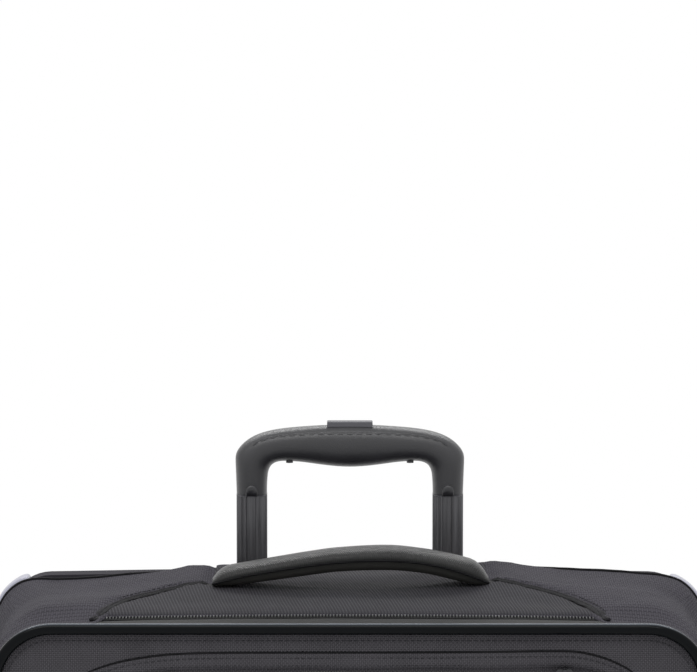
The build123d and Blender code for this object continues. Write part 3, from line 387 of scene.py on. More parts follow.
def along_the_cloth(finish, float_share=1.0):
    """Two distances that run along the surface, whichever way it faces. On top the yarns float further."""
    _, (x, y, z) = finish.place()
    facing = finish.node("ShaderNodeTexCoord", out="Normal")
    sides = [finish.node("ShaderNodeSeparateXYZ", {}, {0: facing}, out=i).size() for i in range(3)]
    faces_side = sides[0] > sides[1].most(sides[2])
    faces_up = sides[2] > sides[0].most(sides[1])
    across = x + faces_side * (y - x)
    upward = z + faces_up * (y * float_share - z)
    return across, upward


def woven(name, colour, thread_mm, roughness=0.75, depth=0.4, contrast=(0.2, 1.8), float_share=1.0):
    finish = Finish(name, colour, roughness, specular=0.08)
    across, upward = along_the_cloth(finish, float_share)
    pitch = math.pi * 1000 / thread_mm
    warp = (across * pitch).sin()
    weft = (upward * pitch).sin()
    warp_on_top = (warp * weft) > 0.0
    height = warp_on_top * warp.size() + (1 - warp_on_top) * weft.size()
    cloud = finish.noise(26, 3)
    fuzz = finish.noise(0.9, 2)
    shade = 0.42 * height + 0.16 * warp_on_top + 0.30 * cloud + 0.22 * fuzz
    finish.bump(height + 0.5 * fuzz, depth)
    rough = roughness - 0.12 * height + 0.12 * fuzz
    return finish.feed(Base_Color=finish.blend(shade, *finish.tones(*contrast)), Roughness=rough)


def twill(name, colour, wale_mm=2.3, slope=7.0):
    """Cloth with raised diagonal lines. The slope is how much further a line runs in depth than across."""
    finish = Finish(name, colour, 0.7, specular=0.08)
    _, (x, y, z) = finish.place()
    line = (x + y * (1 / slope)) * (2 * math.pi * 1000 / wale_mm)
    wale = line.sin() * 0.5 + 0.5
    pick = (y * (math.pi * 1000 / 3.2)).sin().size()
    cloud = finish.noise(26, 3)
    fuzz = finish.noise(0.9, 2)
    finish.bump(wale + 0.4 * pick + 0.5 * fuzz, 0.4)
    shade = 0.38 * wale + 0.18 * pick + 0.26 * cloud + 0.22 * fuzz
    return finish.feed(Base_Color=finish.blend(shade, *finish.tones(0.3, 1.75)), Roughness=0.78 - 0.12 * wale)


def ribbed(name, colour, rib_mm, roughness=0.6, depth=0.3, contrast=(0.6, 1.4)):
    """Grosgrain, webbing and lining: fine ribs one way only."""
    finish = Finish(name, colour, roughness, specular=0.12)
    _, upward = along_the_cloth(finish)
    rib = (upward * (2 * math.pi * 1000 / rib_mm)).sin() * 0.5 + 0.5
    fuzz = finish.noise(1.3, 2)
    cloud = finish.noise(30, 2)
    finish.bump(rib + 0.3 * fuzz, depth)
    shade = 0.4 * rib + 0.3 * cloud + 0.3 * fuzz
    return finish.feed(Base_Color=finish.blend(shade, *finish.tones(*contrast)))


pad_cloth = woven("ballistic_nylon", (0.030, 0.028, 0.035), 1.7, float_share=0.28)
panel_cloth = twill("panel_twill", (0.027, 0.026, 0.030))
lid_cloth = woven("lid_nylon", (0.044, 0.042, 0.047), 1.35, roughness=0.72)
ribbon_cloth = ribbed("grosgrain_ribbon", (0.024, 0.024, 0.024), 0.9, roughness=0.6)
lining_cloth = ribbed("lining_satin", (0.14, 0.14, 0.15), 1.4, roughness=0.5, depth=0.08,
                      contrast=(0.85, 1.12))
webbing_cloth = ribbed("webbing", (0.010, 0.010, 0.011), 1.6, depth=0.4)
binding_cloth = ribbed("binding_tape", (0.006, 0.006, 0.007), 1.1, roughness=0.62)
print("fabric finishes", len(bpy.data.materials))

# %% [markdown]
# ## Leather, plastic, rubber and metal
# The grips are wrapped in a synthetic leather: a fine pebble under a soft shine. Moulded plastic shows a
# spark-eroded texture. Metal is either anodised, with lengthways drawing lines, or plain turned steel.

# %% Hard finishes


def pebbled(name, colour, grain_mm, roughness, depth=0.12, rib_mm=None, specular=0.25):
    finish = Finish(name, colour, roughness, specular=specular)
    spot, (x, y, z) = finish.place()
    cells = finish.node("ShaderNodeTexVoronoi", {"feature": "DISTANCE_TO_EDGE"},
                        {"Vector": spot, "Scale": 1000 / grain_mm})
    height = (cells * 3).least(1.0)
    if rib_mm:
        pitch = 2 * math.pi * 1000 / rib_mm
        height = 0.5 * height + 0.8 * ((x * pitch + y * (0.6 * pitch)).sin() * 0.5 + 0.5)
    cloud = finish.noise(18, 3)
    finish.bump(height, depth)
    shade = 0.45 * height + 0.55 * cloud
    return finish.feed(Base_Color=finish.blend(shade, *finish.tones(0.72, 1.28)),
                       Roughness=roughness + 0.16 * cloud - 0.08)


def moulded(name, colour, roughness, grain_mm=0.7, depth=0.05, coat=0.0, specular=0.2, edge_wear=0.25):
    finish = Finish(name, colour, roughness, coat=coat, specular=specular)
    grain = finish.noise(grain_mm, 2)
    cloud = finish.noise(35, 3)
    scuff = finish.node("ShaderNodeValToRGB", {"stops": ((0.55, 0.0), (0.75, 1.0))}, {0: finish.noise(9, 6)})
    finish.bump(grain, depth)
    tone = finish.blend(0.5 * grain + 0.5 * cloud, *finish.tones(0.8, 1.2))
    worn = finish.blend(scuff * edge_wear, tone, tuple(c * 1.5 + 0.01 for c in colour))
    return finish.feed(Base_Color=worn, Roughness=roughness + 0.14 * cloud - 0.07)


def metal(name, colour, roughness, drawn_mm=None, metallic=1.0):
    finish = Finish(name, colour, roughness, metallic=metallic)
    spot, (x, y, z) = finish.place()
    if drawn_mm:
        stretched = finish.node("ShaderNodeCombineXYZ", {}, {0: x, 1: y, 2: z * 0.02})
        line = finish.noise(drawn_mm, 2, stretched)
    else:
        line = finish.noise(1.2, 3)
    finish.bump(line, 0.02)
    return finish.feed(Base_Color=finish.blend(line, *finish.tones(0.8, 1.2)),
                       Roughness=roughness + 0.2 * line - 0.1)


def glossy(name, colour):
    """Extruded vinyl. It shines, and its colour is painted paler along the top: a painted highlight on the
    crest of the bead.
    """
    finish = Finish(name, colour, 0.16, specular=0.08)
    facing = finish.node("ShaderNodeTexCoord", out="Normal")
    up = finish.node("ShaderNodeSeparateXYZ", {}, {0: facing}, out=2)
    cloud = finish.noise(30, 3)
    # Painted highlight: the colour turns paler where the surface faces up, standing in for the lamp's glint
    # along the top of the bead.
    painted_highlight = ((up - 0.70) * 3.6).most(0.0).least(1.0)
    finish.bump(finish.noise(2.2, 2), 0.015)
    return finish.feed(Base_Color=finish.blend(painted_highlight * (0.75 + 0.5 * cloud), colour, (0.085, 0.095, 0.11)),
                       Roughness=0.12 + 0.12 * cloud)


grip_leather = pebbled("grip_leather", (0.020, 0.020, 0.023), 0.8, 0.36, depth=0.05, specular=0.6)
handle_leather = pebbled("handle_leather", (0.006, 0.006, 0.006), 0.9, 0.32, depth=0.16, rib_mm=1.5,
                         specular=0.32)
handle_smooth = pebbled("handle_smooth", (0.024, 0.024, 0.022), 0.8, 0.5, depth=0.04, specular=0.3)
frame_plastic = moulded("frame_plastic", (0.034, 0.032, 0.038), 0.75, specular=0.05)
guard_plastic = moulded("guard_plastic", (0.30, 0.30, 0.36), 0.3, specular=0.5)
tray_plastic = moulded("tray_plastic", (0.018, 0.018, 0.020), 0.6, depth=0.09)
button_plastic = moulded("button_plastic", (0.09, 0.09, 0.10), 0.34, edge_wear=0.1)
inner_plastic = moulded("inner_plastic", (0.018, 0.018, 0.019), 0.5)
piping_vinyl = glossy("piping_vinyl", (0.0022, 0.0028, 0.0034))
coil_nylon = moulded("coil_nylon", (0.060, 0.062, 0.060), 0.3, depth=0.01, specular=0.6)
hub_plastic = moulded("hub_plastic", (0.05, 0.05, 0.055), 0.35)
foot_rubber = moulded("foot_rubber", (0.012, 0.017, 0.018), 0.8, depth=0.1)
tyre_rubber = moulded("tyre_rubber", (0.013, 0.013, 0.014), 0.72, grain_mm=1.1, depth=0.12)
patch_rubber = moulded("patch_rubber", (0.022, 0.022, 0.025), 0.55)
tube_alloy = metal("anodised_tube", (0.13, 0.13, 0.137), 0.36, drawn_mm=0.5, metallic=0.9)
steel = metal("turned_steel", (0.5, 0.5, 0.51), 0.3)
spring_steel = metal("spring_steel", (0.4, 0.4, 0.41), 0.35)
black_enamel = moulded("black_enamel", (0.020, 0.020, 0.022), 0.28, coat=0.5, edge_wear=0.15)
screw_steel = metal("blackened_screw", (0.12, 0.12, 0.13), 0.4)
thread = ribbed("sewing_thread", (0.036, 0.035, 0.040), 0.5, depth=0.1)
cord_cloth = woven("cord_cloth", (0.026, 0.025, 0.028), 0.9)

# %% [markdown]
# ## Finishes on the hard parts
# The moulded and metal parts of the frame already have their shape, so each only takes a finish, picked by
# the material slot that the record gives it.

# %% Dress the CAD nodes
finish_of_slot = {
    "ballistic_fabric": pad_cloth, "panel_fabric": panel_cloth, "frame_plastic": frame_plastic,
    "lining_fabric": lining_cloth, "hoop_steel": steel, "zip_nylon": coil_nylon, "piping_gloss": piping_vinyl,
    "seam_piping": binding_cloth, "tray_plastic": tray_plastic, "foot_rubber": foot_rubber,
    "tyre_rubber": tyre_rubber, "hub_plastic": hub_plastic, "bearing_steel": steel,
    "tube_aluminium": tube_alloy, "grip_leather": grip_leather, "button_plastic": button_plastic,
    "inner_plastic": inner_plastic,
    "spring_steel": spring_steel, "slider_metal": black_enamel, "strap_webbing": webbing_cloth,
    "patch_rubber": patch_rubber, "handle_leather": handle_leather, "screw_steel": screw_steel,
}
for part in frame["record"]["subparts"]:
    mesh = frame["nodes"][part["node"]].data
    mesh.materials.clear()
    mesh.materials.append(finish_of_slot[part["material_slot"]])
frame["nodes"]["grip_fittings"].data.materials[0] = grip_leather

# %% [markdown]
# ## The outline of the case
# Seen from the front the case is a tall rounded rectangle. Every soft piece round it starts from the same
# walk round that outline, which gives positions and outward directions.

# %% Walk round the outline
HALF_WIDTH = 254.0
CASE_LOW = 46.0
CASE_HIGH = 699.0
CORNER = 42.0
SEAM_Y = -84.0
BACK_Y = 106.0
LID_FRONT = -126.0
LID_HALF = HALF_WIDTH - 3
LID_HIGH = CASE_HIGH - 1.5


def outline(half, low, high, radius, step=4.0):
    """Points and outward directions round a rounded rectangle, from the bottom middle towards +X."""
    spots = []
    outs = []
    corners = ((half - radius, low + radius, -90), (half - radius, high - radius, 0),
               (-half + radius, high - radius, 90), (-half + radius, low + radius, 180))
    turn_count = max(4, int(round(radius * math.pi / 2 / (step * 0.6))))
    start = np.array([0.0, low])
    for x, z, first in corners:
        angles = np.radians(first + np.linspace(0, 90, turn_count + 1))
        arc = np.stack([x + radius * np.cos(angles), z + radius * np.sin(angles)], 1)
        run = np.linalg.norm(arc[0] - start)
        count = max(1, int(round(run / step)))
        for k in range(count):
            spots.append(start + (arc[0] - start) * k / count)
            outs.append((math.cos(angles[0]), math.sin(angles[0])))
        for k in range(turn_count):
            spots.append(arc[k])
            outs.append((math.cos(angles[k]), math.sin(angles[k])))
        start = arc[-1]
    run = abs(start[0])
    count = max(1, int(round(run / step)))
    for k in range(count):
        spots.append(start + (np.array([0.0, low]) - start) * k / count)
        outs.append((0.0, -1.0))
    return np.array(spots), np.array(outs)


def smoothstep(low, high, value):
    share = np.clip((np.asarray(value, float) - low) / (high - low), 0, 1)
    return share * share * (3 - 2 * share)


# %% [markdown]
# ## How the top of the case bulges
# Foam and a steel hoop push the top up. It is flat near the corners, swells in two soft pads, dips along the
# seams that the carry handle is sewn into, and is nearly level between them. A table of heights across the
# width, faded in from the zipper to the middle of the depth, gives that.

# %% Height of the top
RISE_X = (-228, -215, -200, -185, -170, -155, -141, -126, -119, -112, -104, -100, -88, -60, -35, 0, 35,
          60, 88, 100, 104, 112, 119, 126, 141, 156, 171, 186, 200, 215, 228)
RISE_Z = (-2.2, -2.6, -2.0, -0.8, 0.8, 2.3, 3.9, 7.0, 8.9, 8.9, 8.8, 7.9, 8.4, 7.0, 5.2, 4.6, 5.2,
          7.0, 9.4, 12.2, 12.4, 11.6, 11.0, 9.4, 7.4, 5.6, 4.6, 4.2, 3.2, 1.4, 0.0)
SEAM_PATH = ((96, 10), (103, 7.5), (112, 4), (126, -3), (141, -13), (156, -29), (166, -46), (173, -63),
             (178, -79), (181, -90), (183, -99))
SEAM_FRONT = -78
SEAM_REAR = 9


def seam_x(y):
    """How far out the curved seam on the top lies at a depth."""
    ys = [p[1] for p in SEAM_PATH][::-1]
    xs = [p[0] for p in SEAM_PATH][::-1]
    return np.interp(np.clip(y, SEAM_FRONT, SEAM_REAR), ys, xs)


def zip_height(x):
    """Height of the zipper seam over the corners' top. It sags towards the corners."""
    x = np.abs(x)
    return -1.5 - 1.8 * (np.minimum(x, 173) / 173) ** 2 - 0.08 * np.clip(x - 173, 0, 40)


def lid_top(x, y):
    """Height of the lid's top: nearly level at the piping, and sagging with the zipper at its rear."""
    rear = np.clip((y - LID_FRONT) / 38, 0, 1)
    return rear * (zip_height(x) + 1.2) + (1 - rear) * 0.4


def top_rise(x, y):
    """Height of the top above the corners."""
    x = np.asarray(x, float)
    y = np.asarray(y, float)
    ridge = np.interp(x, RISE_X, RISE_Z)
    broad = 5.0 * (1 - (x / HALF_WIDTH) ** 2) + 0.8
    crossing = smoothstep(-55, 30, y)
    height = broad * (1 - crossing) * (0.35 + 0.65 * smoothstep(SEAM_Y, -10, y)) + ridge * crossing
    gap = np.abs(x) - seam_x(y)
    forward = 1 - smoothstep(2, 16, y)
    puff = 3.2 * (1 - np.exp(-np.clip(gap, 0, None) / 8)) * np.exp(-np.clip(gap, 0, None) / 90)
    valley = -1.5 * np.exp(-(gap / 4.0) ** 2)
    height = height + forward * (puff + valley)
    notch = np.abs(np.abs(x) - 101)
    reach = smoothstep(-4, 10, y) * (1 - 0.75 * smoothstep(40, 88, y))
    height = height - 3.6 * np.exp(-(notch / 4) ** 2) * reach
    height = height + 0.5 * np.sin(notch * 1.25 + y * 0.05) * np.exp(-((notch - 8) / 9) ** 2) * reach
    roll = np.clip((y - SEAM_Y) / 20, 0, 1)
    share = 1 - np.sqrt(1 - (1 - roll) ** 2)
    return height * (1 - share) + zip_height(x) * share


print("top rise at the middle and on the pads", [round(float(top_rise(x, 50)), 1) for x in (0, 112, -112)])

# %% [markdown]
# ## The body's fabric
# The gusset is one padded strip of cloth sewn round from corner to corner. It could be a plain extrusion, but
# real foam makes it swell between its two seams and ripple a little, so each point of a fine sheet is pushed
# outwards by an amount that fades to nothing at the zipper and at the rear frame. The sheet turns in at the
# front edge and ends in the bound flange that shows when the lid is open. At both shoulders the pad runs on
# over the zipper and the lid's band as a fly, which stays with the body.

# %% Gusset
GUSSET_Y = np.concatenate([[-80.6, -81.4, -81.2, -80.0], np.linspace(-78, -62, 9), np.linspace(-58, 84, 37),
                           [86.5, 87.8]])
around, outs = outline(HALF_WIDTH, CASE_LOW, CASE_HIGH, CORNER)


def corner_flare(ring, outs, y):
    """The top rear corners of the fabric widen where they run into the moulded guards."""
    grow = smoothstep(10, 88, y) * smoothstep(590, 665, ring[:, 1]) * smoothstep(185, 236, np.abs(ring[:, 0]))
    both = 2 * np.abs(outs[:, 0]) * outs[:, 1].clip(0)
    return ring + np.stack([np.sign(ring[:, 0]) * 9.5 * grow, 3.6 * grow * both], 1)


rows = []
for y, inset in ((-74.0, 13.2), (-79.4, 13.0), (-80.4, 12.0), (-80.8, 7.0), (-81.0, 3.0)):
    ring = around - outs * inset
    rows.append(upright(ring, y, zip_height(ring[:, 0]) * outs[:, 1].clip(0) ** 2))
FLY = 43.0
fly_zone = smoothstep(173, 182, np.abs(around[:, 0])) * smoothstep(612, 660, around[:, 1])


def over_the_lid(y):
    """Height of the fly where it lies over the lid's band."""
    return lid_top(around[:, 0], y) - 0.5


for share in (0.05, 0.35, 0.7, 1.0):
    reach = fly_zone * share
    y = -81.2 - FLY * reach
    side = around[:, 0] - outs[:, 0] * (0.5 + 1.6 * reach ** 2)
    height = np.where(fly_zone > 0.02, over_the_lid(y), zip_height(around[:, 0]))
    height = height * outs[:, 1].clip(0) ** 2 - 0.5 * outs[:, 1]
    rows.append(np.stack([side, y, around[:, 1] + height], 1))
for y in GUSSET_Y:
    tuck = 1.2 * max(0.0, 1 - (y + 81.4) / 3.0) if y < -78 else (1.4 * max(0.0, (y - 84.0) / 4))
    swell = 2.4 * np.sin(np.pi * np.clip((y + 80) / 168, 0, 1)) ** 0.7
    flat = upright(around, y)
    pinned = np.clip(min(y + 80, 88 - y) / 18, 0, 1)
    uneven = 0.55 * ripple(flat, 70, 3) + 0.25 * ripple(flat, 24, 4)
    up_ness = outs[:, 1].clip(0) ** 2
    on_side = np.abs(outs[:, 0]) ** 2
    waist = 0.55 + 0.45 * np.cos((around[:, 1] - 370) / 620 * np.pi) ** 2
    push = swell * on_side * waist + uneven * pinned * 0.8 - tuck
    moved = corner_flare(around + outs * push[:, None], outs, y)
    lift = top_rise(around[:, 0], y) * up_ness
    fly = fly_zone * float(y < -60) * (-60 - y) / 21
    reach_y = y - FLY * fly
    cover = smoothstep(0.0, 0.5, fly)
    lift = lift * (1 - cover) + over_the_lid(reach_y) * up_ness * cover
    over_teeth = cover * (2.3 * np.exp(-((reach_y + 84) / 9) ** 2) - 1.6 * fly ** 2)
    side = moved[:, 0] + outs[:, 0] * over_teeth
    height = moved[:, 1] + lift + outs[:, 1] * over_teeth.clip(0)
    rows.append(np.stack([side, reach_y, height], 1))
BOUND_STRIPS = 7
shape = sheet_of(rows, close_points=True)
body_fabric = piece("body_fabric", shape, "case", pad_cloth, ["gusset"])
body_fabric.data.materials.append(panel_cloth)
body_fabric.data.materials.append(binding_cloth)
for face in body_fabric.data.polygons:
    x, y, z = [1000 * c for c in face.center]
    if z > CASE_HIGH - 2 and abs(x) < seam_x(y) and y > -80:
        face.material_index = 1
    if face.index < BOUND_STRIPS * len(around):
        face.material_index = 2
print("body fabric points", len(body_fabric.data.vertices))

# %% [markdown]
# ## Stitches
# A lockstitch shows as a row of short raised dashes that sink at their ends. Each is a small spindle lying
# along the seam, so rows of them catch the light as real thread does.

# %% Stitch rows


def spindle(length, radius, sides=6):
    """One stitch, lying along the first axis."""
    rows = []
    for share, width in ((-0.5, 0.25), (-0.3, 0.9), (0.0, 1.0), (0.3, 0.9), (0.5, 0.25)):
        turn = 2 * np.pi * np.arange(sides) / sides
        sink = -0.5 * radius * (2 * share) ** 2
        rows.append(np.stack([np.full(sides, share * length), radius * width * np.cos(turn),
                              radius * width * np.sin(turn) + sink], 1))
    return capped(sheet_of(rows, close_points=True), sides)


def stitches(path, out, length=3.2, gap=1.2, radius=0.34, closed=False):
    """A row of stitches along a path. out is the way the cloth faces, one direction or one for each point."""
    spots = spaced(path, length + gap, closed)
    travel, _, _ = frames_along(spots, (0.3, 0.5, 0.8), closed)
    facing = np.broadcast_to(np.asarray(out, float), spots.shape).copy()
    facing -= travel * np.sum(facing * travel, 1)[:, None]
    facing /= np.linalg.norm(facing, axis=1)[:, None]
    axes = np.stack([travel, np.cross(facing, travel), facing], 1)
    return copies_of(spindle(length, radius), spots, axes)


# %% [markdown]
# ## The curved seam on the top
# On each side a piped seam starts at the end of the carry handle and sweeps outwards and forwards to the
# zipper. It is a folded strip with a cord inside, so a thin tube rides on a wider, flatter one, with a row of
# stitches beside it. The flat one is made near black and wide: partly the real flange, partly painted shade
# for the shadowed valleys either side of the cord.

# %% Arch piping


def on_top(points_xy, above=0.0):
    """Points laid on the bulging top."""
    points_xy = np.asarray(points_xy, float)
    z = CASE_HIGH + top_rise(points_xy[:, 0], points_xy[:, 1]) + above
    return np.stack([points_xy[:, 0], points_xy[:, 1], z], 1)


def smooth_path(points, step):
    """A smooth curve through a few points, as even steps."""
    points = np.asarray(points, float)
    fine = [points[0]]
    padded_points = np.vstack([2 * points[0] - points[1], points, 2 * points[-1] - points[-2]])
    for a, b, c, d in zip(padded_points, padded_points[1:], padded_points[2:], padded_points[3:]):
        for t in np.linspace(0.1, 1, 10):
            fine.append(0.5 * (2 * b + (c - a) * t + (2 * a - 5 * b + 4 * c - d) * t ** 2
                               + (3 * b - a - 3 * c + d) * t ** 3))
    fine = np.array(fine)
    if fine.shape[1] == 2:
        fine = np.column_stack([fine, np.zeros(len(fine))])
    return spaced(fine, step)


cords = []
shadow_flanges = []
seam_stitches = []
for side in (-1, 1):
    plan = smooth_path(SEAM_PATH, 3.0)[:, :2] * (side, 1)
    climb = np.zeros((len(plan), 3))
    climb[:, 2] = 1.5 * smoothstep(82, 92, -plan[:, 1])
    cords.append(tube_of(on_top(plan, 1.7) + climb, 1.3, 10, up=(0, 0, 1)))
    # The wide near-black flat under the cord is painted shade: it stands in for the shadow in the valleys
    # either side of the cord.
    from_end = np.minimum(np.arange(len(plan)) + 1, len(plan) - np.arange(len(plan)))
    width = 3.6 * smoothstep(0, 5, from_end) + 0.4
    shadow_flanges.append(tube_of(on_top(plan, 0.7) + climb, width, 14, up=(0, 0, 1), flat=0.42))
    travel, across, _ = frames_along(on_top(plan), (0, 0, 1))
    outer = (plan + (across[:, :2] * np.sign(across[:, :1] * side) * 4.6))[plan[:, 1] > -78]
    seam_stitches.append(stitches(on_top(outer, 0.1), (0, 0, 1)))
piece("arch_welts", joined(*cords), "case", cord_cloth, ["arch_piping"])
# Near-black flanges: painted shade for the valleys beside the cords.
piece("arch_welt_shadow_flanges", joined(*shadow_flanges), "case", binding_cloth)
piece("arch_stitching", joined(*seam_stitches), "case", thread)
print("arch stitches", sum(len(s[1]) for s in seam_stitches))

# %% [markdown]
# ## The zipper
# A coil zipper is two rows of nylon loops on woven tapes. Their loops alternate and hook behind one another,
# so the body's teeth and the lid's teeth are set half a pitch apart and reach just past the middle of the
# seam. Each half rides with its own side, so the seam opens tooth by tooth when the lid swings.

# %% Zipper teeth and tapes
ZIP_LOW = 76.0
TOOTH_PITCH = 2.3


def tooth():
    """A coil loop: a short rounded bar across the tape. First axis along the zipper, second across it."""
    rows = []
    for across, scale in ((-1.9, 0.55), (-1.5, 0.95), (0.0, 0.9), (1.3, 1.0), (1.9, 0.6)):
        turn = 2 * np.pi * np.arange(8) / 8
        rows.append(np.stack([0.5 * scale * np.cos(turn), np.full(8, across),
                              0.75 * scale * np.sin(turn)], 1))
    return capped(sheet_of(rows, close_points=True), 8)


def zip_line(half, high, y, proud):
    """The open path of the chain: up one side, over the top and down the other."""
    spots, outs = outline(half, CASE_LOW, high, CORNER, 2.0)
    spots = spots + outs * proud
    lift = (zip_height(spots[:, 0]) + CASE_HIGH - high) * outs[:, 1].clip(0) ** 2
    path = upright(spots, y, lift)
    keep = path[:, 2] > ZIP_LOW
    first = int(np.argmax(keep))
    last = len(keep) - int(np.argmax(keep[::-1]))
    return path[first:last], upright(outs, 0.0)[first:last]


def zip_half(half, high, tooth_y, tape_front, tape_rear, shift, reach):
    path, facing = zip_line(half, high, tooth_y, 0.9)
    spots = spaced(path, TOOTH_PITCH)
    facing = np.stack([np.interp(np.linspace(0, 1, len(spots)), np.linspace(0, 1, len(facing)), facing[:, i])
                       for i in range(3)], 1)
    if shift:
        spots = (spots[1:] + spots[:-1]) / 2
        facing = facing[1:]
    travel, _, _ = frames_along(spots, (0, 1, 0))
    facing /= np.linalg.norm(facing, axis=1)[:, None]
    axes = np.stack([travel, np.broadcast_to((0, reach, 0), spots.shape), facing], 1)
    tape = []
    for y, proud in ((tape_front, 0.0), (tape_front, 0.35), (tape_rear, 0.35), (tape_rear, -0.6)):
        tape.append(zip_line(half, high, y, proud)[0])
    return copies_of(tooth(), spots, axes), sheet_of(tape)


body_teeth, body_tape = zip_half(HALF_WIDTH, CASE_HIGH, -82.5, -82.9, -79.0, False, 1.0)
lid_teeth, lid_tape = zip_half(LID_HALF, LID_HIGH, -85.5, -85.1, -89.0, True, -1.0)
piece("zip_teeth_body", body_teeth, "case", coil_nylon, ["zip_chain_body"])
piece("zip_tape_body", body_tape, "case", webbing_cloth)
piece("zip_teeth_lid", lid_teeth, "lid", coil_nylon, ["zip_chain_lid"])
piece("zip_tape_lid", lid_tape, "lid", webbing_cloth)
print("teeth on each side", [len(teeth[0]) // len(tooth()[0]) for teeth in (body_teeth, lid_teeth)])

# %% [markdown]
# ## The lid's side band
# Between the zipper and the thick piping runs a narrow band of ribbed ribbon over foam. It is the same kind
# of sheet as the gusset: outer face, a turned edge and the inner wall that shows when the lid is open.

# %% Lid band
around, outs = outline(LID_HALF, CASE_LOW, LID_HIGH, CORNER)


def lid_ring(y, inset, swell=0.0):
    ring = around - outs * inset
    if swell:
        ring = ring + outs * (swell + 0.25 * ripple(upright(ring, y), 60, 9))[:, None]
    return upright(ring, y, lid_top(ring[:, 0], y) * outs[:, 1].clip(0) ** 2)


rows = [lid_ring(*row) for row in ((-119.0, 6.4), (-89.5, 5.6), (-88.0, 4.6), (-87.6, 2.2), (-88.2, 0.4))]
for y in np.linspace(-90, -125, 16):
    rows.append(lid_ring(y, 0.0, 0.05 + 0.9 * math.sin(math.pi * (-89 - y) / 37)))
rows += [lid_ring(-126.2, 0.9), lid_ring(-126.4, 6.0)]
piece("lid_band", sheet_of(rows, close_points=True), "lid", ribbon_cloth, ["lid_gusset"])

# %% [markdown]
# ## Thick piping
# A glossy extruded welt runs round the front edge and takes the knocks. Its flange is caught in the seam, so
# the bead sits on a thin lip. It follows the same outline as the lid.

# %% Lid piping
piping_path, _ = outline(LID_HALF - 1.8, CASE_LOW + 1.8, LID_HIGH - 1.0, CORNER - 1.8, 3.0)
bead = upright(piping_path, -129.2)
bead_shape = tube_of(bead, 4.1, 18, closed=True)
lip = tube_of(bead + (0, 2.8, 0), 2.1, 10, closed=True)
piece("lid_welt", joined(bead_shape, lip), "lid", piping_vinyl, ["lid_piping"])

# %% [markdown]
# ## The lid's front panel
# The panel is a single padded sheet held by the piping all round. Rings that shrink towards the middle let it
# crown gently without a seam, and a stitch row follows the piping.

# %% Lid front panel
rings = []
for inset in (3.0, 4.2, 6.0, 9.0, 13.0, 18.0, 26.0, 36.0, 48.0, 62.0, 80.0, 105.0, 135.0, 170.0, 205.0,
              235.0):
    spots, _ = outline(LID_HALF - inset, CASE_LOW + inset, LID_HIGH - inset, max(CORNER - inset, 6.0), 5.0)
    if rings and len(spots) != len(rings[0]):
        spots = evened(spots, len(rings[0]))
    ring = upright(spots, LID_FRONT - 0.8 - 2.6 * (1 - math.exp(-(inset - 3) / 12)))
    ring[:, 1] += 0.35 * ripple(ring, 55, 12) * min(1, inset / 20)
    ring[:, 2] += 1.4 * (1 - (ring[:, 0] / LID_HALF) ** 2) * (ring[:, 2] > 400) * max(0, 1 - inset / 60)
    rings.append(ring)
panel_shape = closed_middle(rings)
front_panel = piece("lid_front_panel", panel_shape, "lid", lid_cloth, ["lid_panel"])
row_path, _ = outline(LID_HALF - 9.5, CASE_LOW + 9.5, LID_HIGH - 9.5, CORNER - 9.5, 4.0)
edge_row = stitches(upright(row_path, LID_FRONT - 2.2), (0, -1, 0), closed=True)
piece("lid_edge_stitching", edge_row, "lid", thread)

# %% [markdown]
# ## Front pockets
# Each pocket is a flat bag with gussets, stuffed a little. Inflating a closed shape with cloth simulation
# gives the pulled corners and soft edges that a bevel can't. The back is then pressed flat against the lid.

# %% Pocket bags


def pocket_outline(low, high, inset):
    return outline(203 - inset, low + inset, high - inset, 16.0, 5.0)[0]


def inflate(obj, voxel_mm, cap_mm, pressure=4.0):
    """Remeshes a closed shape and swells it as cloth, with no point moving further than the cap."""
    remesh = obj.modifiers.new("even", "REMESH")
    remesh.mode = "VOXEL"
    remesh.voxel_size = voxel_mm / 1000
    apply_modifiers(obj)
    start = np.array([v.co for v in obj.data.vertices])
    cloth = obj.modifiers.new("swell", "CLOTH")
    cloth.settings.use_pressure = True
    cloth.settings.uniform_pressure_force = pressure
    cloth.settings.effector_weights.gravity = 0
    cloth.settings.quality = 4
    scene = bpy.context.scene
    for number in range(1, 21):
        scene.frame_set(number)
    apply_modifiers(obj)
    scene.frame_set(1)
    end = np.array([v.co for v in obj.data.vertices])
    moved = end - start
    far = np.linalg.norm(moved, axis=1)
    moved *= np.minimum(1, cap_mm / 1000 / np.maximum(far, 1e-9))[:, None]
    return start + moved


def write_points(obj, points):
    obj.data.vertices.foreach_set("co", np.asarray(points, np.float32).ravel())
    obj.data.update()


POCKET_POINTS = 240
POCKETS = {"upper": (392.0, 662.5, 10.0), "lower": (84.0, 355.5, 14.0)}
for label, (low, high, depth) in POCKETS.items():
    rows = []
    for inset, share in ((14, 0.0), (3, 0.0), (1.0, 0.12), (0.5, 0.4), (1.0, 0.7), (4.0, 0.9), (11.0, 0.97)):
        plan = evened(pocket_outline(low, high, inset), POCKET_POINTS)
        rows.append(upright(plan, LID_FRONT - 1.2 - depth * 0.8 * share))
    shape = capped(sheet_of(rows, close_points=True), POCKET_POINTS)
    bag = piece(f"{label}_pocket_bag", shape, None, lid_cloth, [f"{label}_pocket"])
    swollen = inflate(bag, 6.0, 3.0)
    flat = LID_FRONT - 1.0
    swollen[:, 1] = np.clip(swollen[:, 1], (LID_FRONT - depth) / 1000, flat / 1000)
    crease = 0.5 * ripple(swollen * 1000, 38, 21) + 0.25 * ripple(swollen * 1000, 16, 22)
    front = smoothstep(0.25, 0.8, (flat - swollen[:, 1] * 1000) / depth)
    swollen[:, 1] = np.maximum(swollen[:, 1] - crease * front * 0.0007, (LID_FRONT - depth) / 1000)
    write_points(bag, swollen)
    soften(bag)
    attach(bag, "lid")
    print(label, "pocket points", len(bag.data.vertices))

